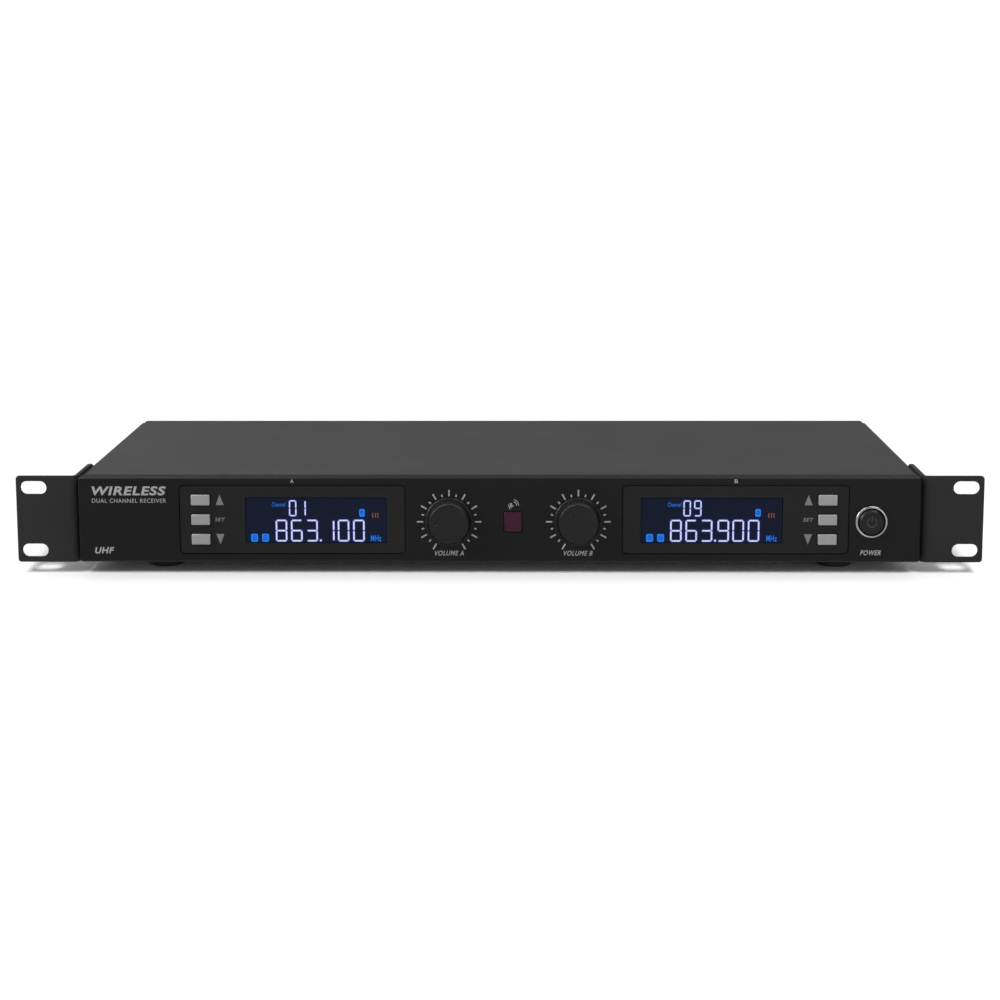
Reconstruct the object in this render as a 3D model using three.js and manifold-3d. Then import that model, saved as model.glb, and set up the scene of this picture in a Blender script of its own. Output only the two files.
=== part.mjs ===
// A two-channel wireless microphone receiver, one rack unit high, for a 19 inch rack or a table top.
// Millimetres, +Z up, and the front faces -Y. The origin is under the middle of the unit, on the
// surface that its feet stand on. Inside, lengths are first laid out from the front face of the
// rack ears (y = 0), and one group then moves the whole unit back over its origin.
//
// A folded steel tray carries the boards and the rear sockets, and a flat cover with folded sides drops in
// between the tray's side walls. A moulded front panel closes the front, with one recessed
// field for each channel, and two bent ears are screwed to the tray's sides.

import * as THREE from 'three';
import { mergeVertices } from 'three/addons/utils/BufferGeometryUtils.js';
import Module from 'manifold-3d';

const wasm = await Module();
wasm.setup();

// ---------------------------------------------------------------- driving dimensions

// Rack standard
const rackWidth = 482.6; // across both ears
const rackSlotSpan = 465.1; // left slots to right slots
const rackSlotPitch = 31.75; // lower slot to upper slot
const earHeight = 43.7; // one rack unit, less its clearance

// Case
const bodyWidth = 420;
const bodyDepth = 200; // front face of the ears to the rear wall
const bodyHeight = 43.1;
const footHeight = 9.6;
const sheet = 1; // steel of the tray and the cover
const bend = 2; // outside radius of the tray's folds
const coverBend = 1.5; // outside radius of the cover's folds
const coverFlange = 9; // height of the cover's folded sides
const coverSideGap = 0.4; // cover's side to the tray's side wall
const lipDepth = 6.2; // folded top lips of the tray's front and rear walls
const lipInset = 9; // each end of a lip to the side wall

// Clearances
const seat = 0.3; // between pieces that touch
const slide = 0.3; // around pieces that move

// Front panel
const panelInset = 0.05; // its top and bottom edges inside the case's
const panelDepth = 7;
const panelProud = 1.5; // how far it stands in front of the ears
const panelBevel = 0.7;
const panelCorner = 1.5;
const panelRim = 2; // wall of its hollow back
const panelFace = 3.7; // thickness of its face

// Layout across the front
const layoutCentre = 7.3; // the logo side is the wider one, so the controls sit right of centre
const knobSpread = 32.2; // layout centre to a knob
const knobToField = 21.8; // a knob's axis to the inner end of the field beside it
const fieldToPower = 3; // right-hand field's outer end to the ring of the power button
const eyeShift = -0.4; // layout centre to the receiver eye
const controlDrop = 1; // knobs, receiver eye and power button below the panel's middle

// One channel's field
const fieldHeight = 35;
const fieldCorner = 2.5;
const windowSunk = 0.4; // window's face below the panel's face
const windowThickness = 1.2;
const glassSunk = 0.3; // display's glass below the window's face
const glassWidth = 70;
const glassHeight = 22.5;
const glassMargin = 9.7; // field's inner end to the display
const glassDrop = 0.4; // display below the field's middle
const glassToKeys = 17.9;
const keyWidth = 9.4;
const keyHeight = 5.4;
const keyPitch = 9.95;
const keyMargin = 6; // keys to the field's outer end
const keyProud = 1.2;
const keyTravel = 0.5;

// Volume controls
const knobLength = 7;
const knobSkirt = 12.3; // radius
const knobGrip = 11.6; // radius over the ribs, at the skirt
const knobFace = 10; // radius over the ribs, at the face
const knobRibs = 26;
const knobRest = { a: -90, b: -45 }; // degrees from straight up, clockwise: where the pointers stand
const shaftRadius = 3;
const shaftFlat = 1.5; // depth of the D flat
const potRadius = 8;
const potLength = 8;
const bushWall = 1.2;

// Power button
const ringRadius = 8.1;
const ringProud = 1.1;
const ringWall = 1.5;
const capProud = 0.9; // cap's face in front of the ring
const powerTravel = 1.5;

// Receiver eye
const eyeWidth = 8.9;
const eyeHeight = 10.2;
const eyeProud = 0.3;

// Rack ears
const earSheet = 2;
const earBend = 4; // outside radius
const earSide = 50; // depth of the side flange
const earSideCorner = 12;
const earCorner = 1.6;
const slotLength = 13;
const slotHeight = 6.6;
const earScrewRise = 10; // ear's middle to each screw
const earScrewBack = 28; // front face of the ear to its screws

// Feet
const footRadius = 10;
const footInset = 37; // case's side to the middle of a foot
const frontFootBack = 42;
const rearFootInset = 35; // rear wall to the middle of a rear foot

// Boards
const board = 1.6;
const bossRadius = 2.3; // the panel's bosses, which the front boards are screwed to
const bossInset = 2; // a field's end to the middle of its bosses
const bossRise = 13.5; // panel's middle to each row of bosses
const boardEdge = 3.5; // middle of a boss to the edge of its board
const standoff = 6;
const mainBoardInset = 20; // case's side to the board's
const mainBoardDepth = 118;

// Rear sockets: where each stands across the rear, seen from the front
const antennaInset = 25; // case's side to the axis of the antenna socket
const outputPlaces = { a: -70, b: -25 };
const jackPlace = 15;
const inletPlace = 150;
const antennaThread = 6; // radius
const antennaReach = 12.4; // rear wall to the end of the socket
const outputBore = 9.6; // radius of the three-pin socket's well
const outputWall = 1.7;
const outputWell = 15.5;
const outputFlange = [26, 31];
const jackBore = 3.25;
const jackThread = 5.5;
const inletBody = [9, 11];
const inletBore = 3.1;

// Screws
const frontCoverScrew = 78;
const rearCoverScrewInset = 28; // rear wall to the rear cover screws
const coverScrewDrop = 5.5;
const cornerBossInset = 8; // case's side to the panel's corner bosses

// ---------------------------------------------------------------- levels that follow from them

const bodyBottom = footHeight;
const bodyTop = footHeight + bodyHeight;
const middle = footHeight + bodyHeight / 2;
const controlHeight = middle - controlDrop;
const wallTop = bodyTop - sheet - seat;
const panelFront = -panelProud;
const panelBack = panelFront + panelDepth;
const faceBack = panelFront + panelFace;
const trayFront = panelBack + seat;
const trayInside = bodyWidth / 2 - sheet;
const coverSide = trayInside - coverSideGap;
const panelHeight = bodyHeight - 2 * panelInset;
const fieldWidth = glassMargin + glassWidth + glassToKeys + keyWidth + keyMargin;
const fieldSpread = knobSpread + knobToField + fieldWidth / 2; // layout centre to the middle of a field
const glassShift = fieldWidth / 2 - glassMargin - glassWidth / 2; // field's middle to its display, inwards
const keyShift = fieldWidth / 2 - keyMargin - keyWidth / 2; // field's middle to its keys, outwards
const powerPlace = layoutCentre + fieldSpread + fieldWidth / 2 + fieldToPower + ringRadius;
const bushRadius = shaftRadius + bushWall;
const footSpread = bodyWidth / 2 - footInset;
const rearFootBack = bodyDepth - rearFootInset;
const mainBoardWidth = bodyWidth - 2 * mainBoardInset;
const antennaSpread = bodyWidth / 2 - antennaInset;
const coverScrewPlaces = [frontCoverScrew, bodyDepth - rearCoverScrewInset];
const earInside = bodyWidth / 2 + seat;
const windowFront = panelFront + windowSunk;
const windowBack = windowFront + windowThickness;
const fieldFloor = windowBack + seat;
const keyFront = windowFront - keyProud;
const displayBoardFront = faceBack + 7.3;
const potFront = faceBack + 7;
const potBack = potFront + potLength;
const controlBoardFront = potBack + seat;
const knobBack = panelFront - seat;
const knobFront = knobBack - knobLength;
const ringFront = panelFront - ringProud;
const ringInside = ringRadius - ringWall;
const capFront = ringFront - capProud;
const capRadius = ringInside - slide;
const boardHeight = bodyBottom + sheet + standoff + seat;
const displayBossReach = fieldWidth / 2 - bossInset;
const controlBossReach = knobSpread + potRadius + 3.5;
const displayBoardAcross = 2 * (displayBossReach + boardEdge);
const controlBoardAcross = 2 * (controlBossReach + boardEdge);
const boardUp = 2 * (bossRise + boardEdge - 0.5);
const rearFace = bodyDepth;
const rearInside = bodyDepth - sheet;
const unitFront = knobFront;
const unitRear = rearFace + antennaReach;
const unitShift = -(unitFront + unitRear) / 2;

// ---------------------------------------------------------------- making solids

const BEYOND = 5; // how far a cutter runs past what it cuts
const GRID = 1000; // points per millimetre: faces meant to be level with each other are exactly level

// A closed three.js geometry as a solid that can be cut and joined.
function solidOf(geometry) {
  const bare = geometry.clone();
  bare.deleteAttribute('normal');
  bare.deleteAttribute('uv');
  const merged = mergeVertices(bare);
  return new wasm.Manifold(new wasm.Mesh({
    numProp: 3,
    vertProperties: merged.attributes.position.array.map((value) => Math.round(value * GRID) / GRID),
    triVerts: new Uint32Array(merged.index.array),
  }));
}

function geometryOf(solid) {
  const mesh = solid.getMesh();
  return new THREE.BufferGeometry()
    .setAttribute('position', new THREE.BufferAttribute(mesh.vertProperties, 3))
    .setIndex(new THREE.BufferAttribute(mesh.triVerts, 1));
}

const joined = (first, ...rest) => rest.reduce((whole, piece) => whole.add(piece), first);
const less = (first, ...rest) => rest.reduce((whole, piece) => whole.subtract(piece), first);

// A rectangle about (across, up), with round corners where a radius is given.
function rectangle(width, height, radius = 0, across = 0, up = 0) {
  const [left, right] = [across - width / 2, across + width / 2];
  const [low, high] = [up - height / 2, up + height / 2];
  const shape = new THREE.Shape();
  if (radius === 0) {
    shape.moveTo(left, low).lineTo(right, low).lineTo(right, high).lineTo(left, high);
    return shape;
  }
  shape.moveTo(left + radius, low);
  shape.absarc(right - radius, low + radius, radius, -Math.PI / 2, 0);
  shape.absarc(right - radius, high - radius, radius, 0, Math.PI / 2);
  shape.absarc(left + radius, high - radius, radius, Math.PI / 2, Math.PI);
  shape.absarc(left + radius, low + radius, radius, Math.PI, 1.5 * Math.PI);
  return shape;
}

// A channel section, open at the top, with round lower corners: a folded sheet seen from its end.
function trough(left, right, low, high, radius) {
  const shape = new THREE.Shape();
  shape.moveTo(right, high).lineTo(left, high);
  shape.absarc(left + radius, low + radius, radius, Math.PI, 1.5 * Math.PI);
  shape.absarc(right - radius, low + radius, radius, 1.5 * Math.PI, 2 * Math.PI);
  return shape;
}

function circle(radius, across = 0, up = 0) {
  const shape = new THREE.Shape();
  shape.absarc(across, up, radius, 0, 2 * Math.PI);
  return shape;
}

// A round bar's section with a flat on its upper side.
function flattedCircle(radius, flat, across = 0, up = 0) {
  const start = Math.asin((radius - flat) / radius);
  const shape = new THREE.Shape();
  shape.absarc(across, up, radius, Math.PI - start, 2 * Math.PI + start);
  return shape;
}

function extruded(shape, depth, arcSteps) {
  return new THREE.ExtrudeGeometry(shape, { depth, bevelEnabled: false, curveSegments: arcSteps });
}

// The shape is drawn in X and Z, and runs from y = front to y = back.
function alongY(shape, front, back, arcSteps = 2) {
  const geometry = extruded(shape, back - front, arcSteps);
  return solidOf(geometry.rotateX(Math.PI / 2).translate(0, back, 0));
}

// The shape is drawn in X and Y.
function alongZ(shape, low, high, arcSteps = 2) {
  return solidOf(extruded(shape, high - low, arcSteps).translate(0, 0, low));
}

// The shape is drawn in Y and Z.
function alongX(shape, left, right, arcSteps = 2) {
  const turn = new THREE.Matrix4().makeBasis(
    new THREE.Vector3(0, 1, 0), new THREE.Vector3(0, 0, 1), new THREE.Vector3(1, 0, 0));
  return solidOf(extruded(shape, right - left, arcSteps).applyMatrix4(turn).translate(left, 0, 0));
}

// As alongY, with the edges of both ends bevelled.
function bevelledAlongY(shape, front, back, bevel, arcSteps = 2) {
  const geometry = new THREE.ExtrudeGeometry(shape, {
    depth: back - front - 2 * bevel,
    bevelThickness: bevel,
    bevelSize: bevel,
    bevelOffset: -bevel,
    bevelSegments: 1,
    curveSegments: arcSteps,
  });
  return solidOf(geometry.rotateX(Math.PI / 2).translate(0, back - bevel, 0));
}

function block(left, right, front, back, low, high) {
  const geometry = new THREE.BoxGeometry(right - left, back - front, high - low);
  return solidOf(geometry.translate((left + right) / 2, (front + back) / 2, (low + high) / 2));
}

// A profile of [radius, y] points, revolved about the Y axis. It starts and ends on the axis, or closes.
function turnedY(profile, sides = 24) {
  const points = profile.map(([radius, y]) => new THREE.Vector2(radius, y));
  if (THREE.ShapeUtils.area(points) < 0) points.reverse();
  return solidOf(new THREE.LatheGeometry(points, sides));
}

const stood = (solid) => solidOf(geometryOf(solid).rotateX(Math.PI / 2)); // from the Y axis to the Z axis
const layFlat = (solid) => solidOf(geometryOf(solid).rotateZ(-Math.PI / 2)); // from the Y axis to the X axis
const moved = (solid, x, y, z) => solidOf(geometryOf(solid).translate(x, y, z));

// ---------------------------------------------------------------- case

const earScrewHole = 2.3;
const coverScrewHole = 1.8;
const footScrewHole = 2.3;
const footPlaces = [
  ['front_left', -footSpread, frontFootBack],
  ['front_right', footSpread, frontFootBack],
  ['rear_left', -footSpread, rearFootBack],
  ['rear_right', footSpread, rearFootBack],
];
const standoffPlaces = [-1, 0, 1].flatMap((side) => [-1, 1].map((end) => [
  side * (mainBoardWidth / 2 - 8),
  bodyDepth - 12 - mainBoardDepth / 2 + end * (mainBoardDepth / 2 - 8),
]));

// Openings in the tray's front wall: one for each board that comes in with the panel, and one for
// the power button.
function frontWallOpenings() {
  const opening = (width, across) =>
    alongY(rectangle(width + 2, boardUp + 2, 0, across, middle), trayFront - BEYOND, trayFront + BEYOND);
  return [
    opening(displayBoardAcross, layoutCentre - fieldSpread),
    opening(displayBoardAcross, layoutCentre + fieldSpread),
    opening(controlBoardAcross, layoutCentre),
    alongY(circle(ringRadius - 0.5, powerPlace, controlHeight), trayFront - BEYOND, trayFront + BEYOND, 8),
  ];
}

function rearWallOpenings() {
  const hole = (radius, across, steps = 8) =>
    alongY(circle(radius, across, middle), rearFace - BEYOND, rearFace + BEYOND, steps);
  return [
    hole(antennaThread + seat, -antennaSpread),
    hole(antennaThread + seat, antennaSpread),
    hole(outputBore + outputWall + seat, outputPlaces.a, 10),
    hole(outputBore + outputWall + seat, outputPlaces.b, 10),
    hole(jackThread + seat, jackPlace),
    alongY(rectangle(inletBody[0] + 2 * seat, inletBody[1] + 2 * seat, 0, inletPlace, middle),
      rearFace - BEYOND, rearFace + BEYOND),
  ];
}

function bottomTray() {
  const half = bodyWidth / 2;
  const above = wallTop + BEYOND;
  const outside = alongY(trough(-half, half, bodyBottom, wallTop, bend), trayFront, rearFace)
    .intersect(alongX(trough(trayFront, rearFace, bodyBottom, wallTop, bend), -half, half));
  const inside = alongY(
    trough(-half + sheet, half - sheet, bodyBottom + sheet, above, bend - sheet), trayFront, rearFace,
  ).intersect(alongX(
    trough(trayFront + sheet, rearInside, bodyBottom + sheet, above, bend - sheet), -half, half,
  ));
  const lips = [[trayFront, trayFront + lipDepth], [rearFace - lipDepth, rearFace]].map(([front, back]) =>
    block(-half + lipInset, half - lipInset, front, back, wallTop - sheet, wallTop));
  const studs = standoffPlaces.map(([x, y]) =>
    alongZ(circle(3, x, y), bodyBottom + sheet / 2, bodyBottom + sheet + standoff, 4));
  const sideHoles = [-half, half].flatMap((x) => [
    ...[-1, 1].map((end) =>
      alongX(circle(earScrewHole, earScrewBack, middle + end * earScrewRise), x - BEYOND, x + BEYOND, 4)),
    ...coverScrewPlaces.map((y) =>
      alongX(circle(coverScrewHole, y, bodyTop - coverScrewDrop), x - BEYOND, x + BEYOND, 4)),
  ]);
  const footHoles = footPlaces.map(([, x, y]) =>
    alongZ(circle(footScrewHole, x, y), bodyBottom - BEYOND, bodyBottom + BEYOND, 4));
  return less(
    joined(outside.subtract(inside), ...lips, ...studs),
    ...frontWallOpenings(), ...rearWallOpenings(), ...sideHoles, ...footHoles);
}

function topCover() {
  const flip = (solid) => solidOf(geometryOf(solid).rotateY(Math.PI).translate(0, 0, 2 * bodyTop));
  const channel = (half, low, radius) => flip(
    alongY(trough(-half, half, bodyTop + low, bodyTop + coverFlange + low, radius), trayFront, rearFace));
  const folded = channel(coverSide, 0, coverBend).subtract(
    channel(coverSide - sheet, sheet, coverBend - sheet));
  const underside = bodyTop - sheet;
  const notches = [
    [trayFront - BEYOND, trayFront + sheet + 1.2],
    [rearInside - 1.2, rearFace + BEYOND],
  ].map(([front, back]) => block(-bodyWidth, bodyWidth, front, back, underside - 2 * coverFlange, underside));
  const holes = [-coverSide, coverSide].flatMap((x) => coverScrewPlaces.map((y) =>
    alongX(circle(coverScrewHole, y, bodyTop - coverScrewDrop), x - BEYOND, x + BEYOND, 4)));
  return less(folded, ...notches, ...holes);
}

// The right-hand ear: one bent plate, with two slots for the rack's bolts.
function rackEar() {
  const outer = rackWidth / 2;
  const section = new THREE.Shape();
  section.moveTo(outer, 0);
  section.lineTo(outer, earSheet);
  section.absarc(earInside + earBend, earBend, earBend - earSheet, 1.5 * Math.PI, Math.PI, true);
  section.lineTo(earInside + earSheet, earSide);
  section.lineTo(earInside, earSide);
  section.absarc(earInside + earBend, earBend, earBend, Math.PI, 1.5 * Math.PI);
  const low = middle - earHeight / 2;
  const high = middle + earHeight / 2;
  const plate = alongZ(section, low, high, 3);
  const frontOutline = alongY(
    rectangle(2 * outer, earHeight, earCorner, 0, middle), -BEYOND, earSide + BEYOND);
  const sideOutline = new THREE.Shape();
  sideOutline.moveTo(-BEYOND, low).lineTo(earSide - earSideCorner, low);
  sideOutline.absarc(earSide - earSideCorner, low + earSideCorner, earSideCorner, -Math.PI / 2, 0);
  sideOutline.absarc(earSide - earSideCorner, high - earSideCorner, earSideCorner, 0, Math.PI / 2);
  sideOutline.lineTo(-BEYOND, high);
  const slots = [-1, 1].map((end) => alongY(
    rectangle(slotLength, slotHeight, slotHeight / 2, rackSlotSpan / 2, middle + end * rackSlotPitch / 2),
    -BEYOND, earSheet + BEYOND, 4));
  const screwHoles = [-1, 1].map((end) => alongX(
    circle(earScrewHole, earScrewBack, middle + end * earScrewRise),
    earInside - BEYOND, earInside + BEYOND, 6));
  return less(
    plate.intersect(frontOutline).intersect(alongX(sideOutline, 0, outer + BEYOND, 4)),
    ...slots, ...screwHoles);
}

// A screw along -X, its head's seat at x = 0 and its thread running inwards.
function sideScrew(headRadius, headHeight, threadRadius, length) {
  return layFlat(turnedY([
    [0, -length], [threadRadius, -length], [threadRadius, 0], [headRadius, 0],
    [headRadius, 0.45 * headHeight], [0.72 * headRadius, 0.88 * headHeight], [0, headHeight],
  ], 10));
}

// A foot hangs below the tray, with its screw sunk in a well.
const footWell = [4.6, 6]; // radius and depth
function foot() {
  const top = footHeight - seat;
  return stood(turnedY([
    [footScrewHole, footWell[1]], [footWell[0], footWell[1]], [footWell[0], 0], [footRadius - 1.9, 0],
    [footRadius - 1.1, 0.8], [footRadius, top], [footScrewHole, top], [footScrewHole, footWell[1]],
  ], 16));
}

function footScrew() {
  const head = footWell[1] - seat;
  return stood(turnedY([
    [0, head - 2.2], [3.4, head - 1.4], [3.4, head], [2, head], [2, footHeight + 4], [0, footHeight + 4],
  ], 12));
}

// ---------------------------------------------------------------- front panel and what sits in it

const fieldPlaces = { a: layoutCentre - fieldSpread, b: layoutCentre + fieldSpread };
const knobPlaces = { a: layoutCentre - knobSpread, b: layoutCentre + knobSpread };
const outward = { a: -1, b: 1 }; // each field's keys stand at its outer end
const keyRows = { up: 1, set: 0, down: -1 };

const keyPlace = (channel, row) =>
  [fieldPlaces[channel] + outward[channel] * keyShift, middle + keyRows[row] * keyPitch];
const glassPlace = (channel) => fieldPlaces[channel] - outward[channel] * glassShift;
const glassHole = (channel) =>
  rectangle(glassWidth + 2 * seat, glassHeight + 2 * seat, 0, glassPlace(channel), middle - glassDrop);

const keyHole = (channel, row) => {
  const [x, z] = keyPlace(channel, row);
  return rectangle(keyWidth + 2 * slide, keyHeight + 2 * slide, 0, x, z);
};

// Four bosses on the back of the panel's face, as far as the board they carry.
const bosses = (centre, reach, rise, back, radius = bossRadius) =>
  [-1, 1].flatMap((side) => [-1, 1].map((end) => alongY(
    circle(radius, centre + side * reach, middle + end * rise), faceBack - 1, back, 4)));

function frontPanel() {
  const outline = rectangle(bodyWidth, panelHeight, panelCorner, 0, middle);
  let panel = bevelledAlongY(outline, panelFront, panelBack, panelBevel);
  panel = panel.subtract(alongY(
    rectangle(bodyWidth - 2 * panelRim, panelHeight - 2 * panelRim, 0, 0, middle),
    faceBack, panelBack + BEYOND));
  const through = (shape, steps) => alongY(shape, panelFront - BEYOND, panelBack + BEYOND, steps);

  for (const channel of ['a', 'b']) {
    const centre = fieldPlaces[channel];
    panel = less(
      joined(panel, ...bosses(centre, displayBossReach, bossRise, displayBoardFront - seat)),
      alongY(rectangle(fieldWidth, fieldHeight, fieldCorner, centre, middle),
        panelFront - BEYOND, fieldFloor, 3),
      through(glassHole(channel)),
      ...Object.keys(keyRows).map((row) => through(keyHole(channel, row))));
  }

  // The control board's bosses, and the corner bosses that are screwed to the tray's front wall.
  return less(
    joined(panel,
      ...bosses(layoutCentre, controlBossReach, bossRise, controlBoardFront - seat),
      ...bosses(0, bodyWidth / 2 - cornerBossInset, bossRise, panelBack, 3)),
    ...Object.values(knobPlaces).map((x) => through(circle(bushRadius, x, controlHeight), 8)),
    through(circle(ringRadius - ringWall / 2, powerPlace, controlHeight), 12),
    through(rectangle(eyeWidth + 2 * seat, eyeHeight + 2 * seat, 1.1, layoutCentre + eyeShift,
      controlHeight)));
}

// The cover plate of a field, open over the display and round the keys.
function displayWindow(channel) {
  const outline = rectangle(fieldWidth - 2 * seat, fieldHeight - 2 * seat, fieldCorner - seat,
    fieldPlaces[channel], middle);
  const plate = alongY(outline, windowFront, windowBack, 3);
  const openings = [glassHole(channel), ...Object.keys(keyRows).map((row) => keyHole(channel, row))];
  return less(plate, ...openings.map((shape) => alongY(shape, windowFront - BEYOND, windowBack + BEYOND)));
}

// Glass standing in the openings of its window and the panel, on a deeper frame that holds the backlight.
function displayModule(channel) {
  const x = glassPlace(channel);
  const z = middle - glassDrop;
  return joined(
    alongY(rectangle(glassWidth, glassHeight, 0, x, z), windowFront + glassSunk, faceBack + 1),
    alongY(rectangle(glassWidth + 6, glassHeight + 6, 1, x, z),
      faceBack + seat, displayBoardFront - seat, 1));
}

// The board behind a field, with its three key switches.
const switchSize = 6;
const switchHeight = 3.5;
function displayBoard(channel) {
  const plate = alongY(rectangle(displayBoardAcross, boardUp, 0, fieldPlaces[channel], middle),
    displayBoardFront, displayBoardFront + board);
  const switches = Object.keys(keyRows).map((row) => {
    const [x, z] = keyPlace(channel, row);
    const face = displayBoardFront - switchHeight;
    return joined(
      alongY(rectangle(switchSize, switchSize, 0, x, z), face, displayBoardFront + board / 2),
      alongY(circle(1.7, x, z), face - 0.4, face + 1, 4));
  });
  return joined(plate, ...switches);
}

// A key: its cap, the flange that keeps it in, and the stem over its switch.
function key() {
  const flangeFront = faceBack + seat;
  const stemBack = displayBoardFront - switchHeight - 0.4 - keyTravel - 0.1;
  return joined(
    bevelledAlongY(rectangle(keyWidth, keyHeight, 0.5), keyFront, flangeFront + 0.6, 0.35, 1),
    alongY(rectangle(keyWidth + 1.6, keyHeight + 1.6), flangeFront, flangeFront + 0.8),
    alongY(rectangle(3, 3), flangeFront + 0.4, stemBack));
}

// ---------------------------------------------------------------- volume controls, eye and power button

// A closed skin over rings of points about the Y axis: each level is [y, radius at an angle].
function ringSkin(levels, count) {
  const positions = [];
  levels.forEach(([y, radiusAt]) => {
    for (let i = 0; i < count; i += 1) {
      const angle = 2 * Math.PI * i / count;
      positions.push(radiusAt(i) * Math.sin(angle), y, radiusAt(i) * Math.cos(angle));
    }
  });
  const firstPole = positions.length / 3;
  positions.push(0, levels[0][0], 0, 0, levels[levels.length - 1][0], 0);
  const index = [];
  const last = (levels.length - 1) * count;
  for (let i = 0; i < count; i += 1) {
    const next = (i + 1) % count;
    index.push(firstPole, next, i);
    index.push(firstPole + 1, last + i, last + next);
    for (let ring = 0; ring < last; ring += count) {
      index.push(ring + i, ring + next, ring + count + i);
      index.push(ring + next, ring + count + next, ring + count + i);
    }
  }
  const geometry = new THREE.BufferGeometry();
  geometry.setAttribute('position', new THREE.Float32BufferAttribute(positions, 3));
  return geometry.setIndex(index);
}

// A skirted knob whose tapering grip is ribbed all round, with a D bore for its shaft and a dimple as
// its pointer.
const boreDepth = knobLength - 3;
function knob() {
  const plain = (radius) => () => radius;
  const ribbed = (radius) => (i) => (i % 2 === 0 ? radius : radius - 0.55);
  const skin = ringSkin([
    [knobFront + 0.5, plain(knobFace - 2.4)],
    [knobFront, plain(knobFace - 1.7)],
    [knobFront + 0.5, plain(knobFace - 0.5)],
    [knobFront + 1.7, ribbed(knobFace + 0.1)],
    [knobBack - 1.9, ribbed(knobGrip)],
    [knobBack - 1.4, plain(knobSkirt - 0.5)],
    [knobBack - 0.9, plain(knobSkirt)],
    [knobBack, plain(knobSkirt)],
  ], 2 * knobRibs);
  const bore = alongY(
    flattedCircle(shaftRadius + slide, shaftFlat), knobBack - boreDepth, knobBack + 1, 6);
  const pointer = alongY(circle(0.9, 0, knobFace - 3.2), knobFront - 1, knobFront + 1.2, 4);
  return less(solidOf(skin), bore, pointer);
}

// The shaft turns with its knob, and its D end fills the knob's bore.
const wiperDepth = 2.5;
function shaft() {
  const tip = knobBack - boreDepth + seat;
  return joined(
    alongY(flattedCircle(shaftRadius, shaftFlat), tip, panelFront + 0.5, 6),
    alongY(circle(shaftRadius), panelFront, potFront + wiperDepth - seat, 6));
}

// A potentiometer: its can, the bush that its shaft turns in, and three legs.
function pot() {
  const can = turnedY([[0, potFront], [potRadius, potFront], [potRadius, potBack], [0, potBack]], 16);
  const bush = alongY(circle(bushRadius), faceBack + seat, potFront + 1, 8);
  const bore = alongY(circle(shaftRadius + slide), faceBack - BEYOND, potFront + wiperDepth, 8);
  const legs = [-5, 0, 5].map((x) =>
    block(x - 0.6, x + 0.6, potFront + 2, potFront + 2.8, -potRadius - 3, -potRadius + 2));
  return less(joined(can, bush, ...legs), bore);
}

function controlBoard() {
  return alongY(rectangle(controlBoardAcross, boardUp, 0, layoutCentre, middle),
    controlBoardFront, controlBoardFront + board);
}

// A purple block in the panel, with a flange behind.
function eyeWindow() {
  return joined(
    bevelledAlongY(rectangle(eyeWidth, eyeHeight, 0.8), panelFront - eyeProud, faceBack + 0.6, 0.3, 1),
    alongY(rectangle(eyeWidth + 3, eyeHeight + 3), faceBack + seat, faceBack + seat + 1));
}

// The infrared receiver: a small block with a domed lens, standing on the control board.
function eyeSensor() {
  const face = controlBoardFront - seat - 3.6;
  const dome = solidOf(new THREE.SphereGeometry(2.4, 16, 8).translate(0, face, 0.6));
  return joined(block(-3.2, 3.2, face, controlBoardFront - seat, -3.5, 3.5), dome);
}

function powerRing() {
  const neck = ringRadius - ringWall / 2 - seat;
  return turnedY([
    [ringInside, ringFront + 0.5], [ringInside + 0.4, ringFront], [ringRadius - 0.5, ringFront],
    [ringRadius, ringFront + 0.6], [ringRadius, panelFront - seat], [neck, panelFront - seat],
    [neck, panelBack + 1], [ringInside, panelBack + 1], [ringInside, ringFront + 0.5],
  ], 28);
}

const powerSwitchFront = trayFront + 6;
function powerButton() {
  const back = panelBack;
  return joined(
    turnedY([
      [0, capFront], [capRadius - 1, capFront], [capRadius, capFront + 0.9], [capRadius, back], [0, back],
    ], 32),
    alongY(rectangle(4, 4), back - 1, powerSwitchFront - powerTravel - 0.1));
}

function powerSwitch() {
  return joined(
    block(-4.3, 4.3, powerSwitchFront + 2, powerSwitchFront + 15, -4.3, 4.3),
    block(-2, 2, powerSwitchFront, powerSwitchFront + 3, -2, 2));
}

// ---------------------------------------------------------------- boards inside

const mainBoardFront = bodyDepth - 12 - mainBoardDepth;
const tunerSize = [62, 44, 15];
const tunerWall = 0.8;
const tunerBack = bodyDepth - 24;
const headerHeight = 7;

// The main board, with its capacitors, its regulator on a finned heat sink, and the ribbon's header.
function mainBoard() {
  const plate = block(-mainBoardWidth / 2, mainBoardWidth / 2, mainBoardFront,
    mainBoardFront + mainBoardDepth, boardHeight, boardHeight + board);
  const top = boardHeight + board;
  const capacitors = [[105, 30, 5], [118, 30, 5], [90, 52, 4], [-40, 40, 4], [-10, 40, 4], [40, 48, 3]].map(
    ([x, y, radius]) => alongZ(circle(radius, x, mainBoardFront + y), top - 0.5, top + 2.4 * radius, 4));
  const heatSink = [0, 1, 2, 3, 4].map((fin) =>
    block(60, 82, mainBoardFront + 22 + 4 * fin, mainBoardFront + 24 + 4 * fin, top + 1, top + 16));
  const sinkBack = block(60, 82, mainBoardFront + 20, mainBoardFront + 40, top - 0.5, top + 3);
  const header = block(layoutCentre - 12, layoutCentre + 12,
    mainBoardFront + 4, mainBoardFront + 10, top - 0.5, top + headerHeight);
  return joined(plate, ...capacitors, sinkBack, ...heatSink, header);
}

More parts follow.
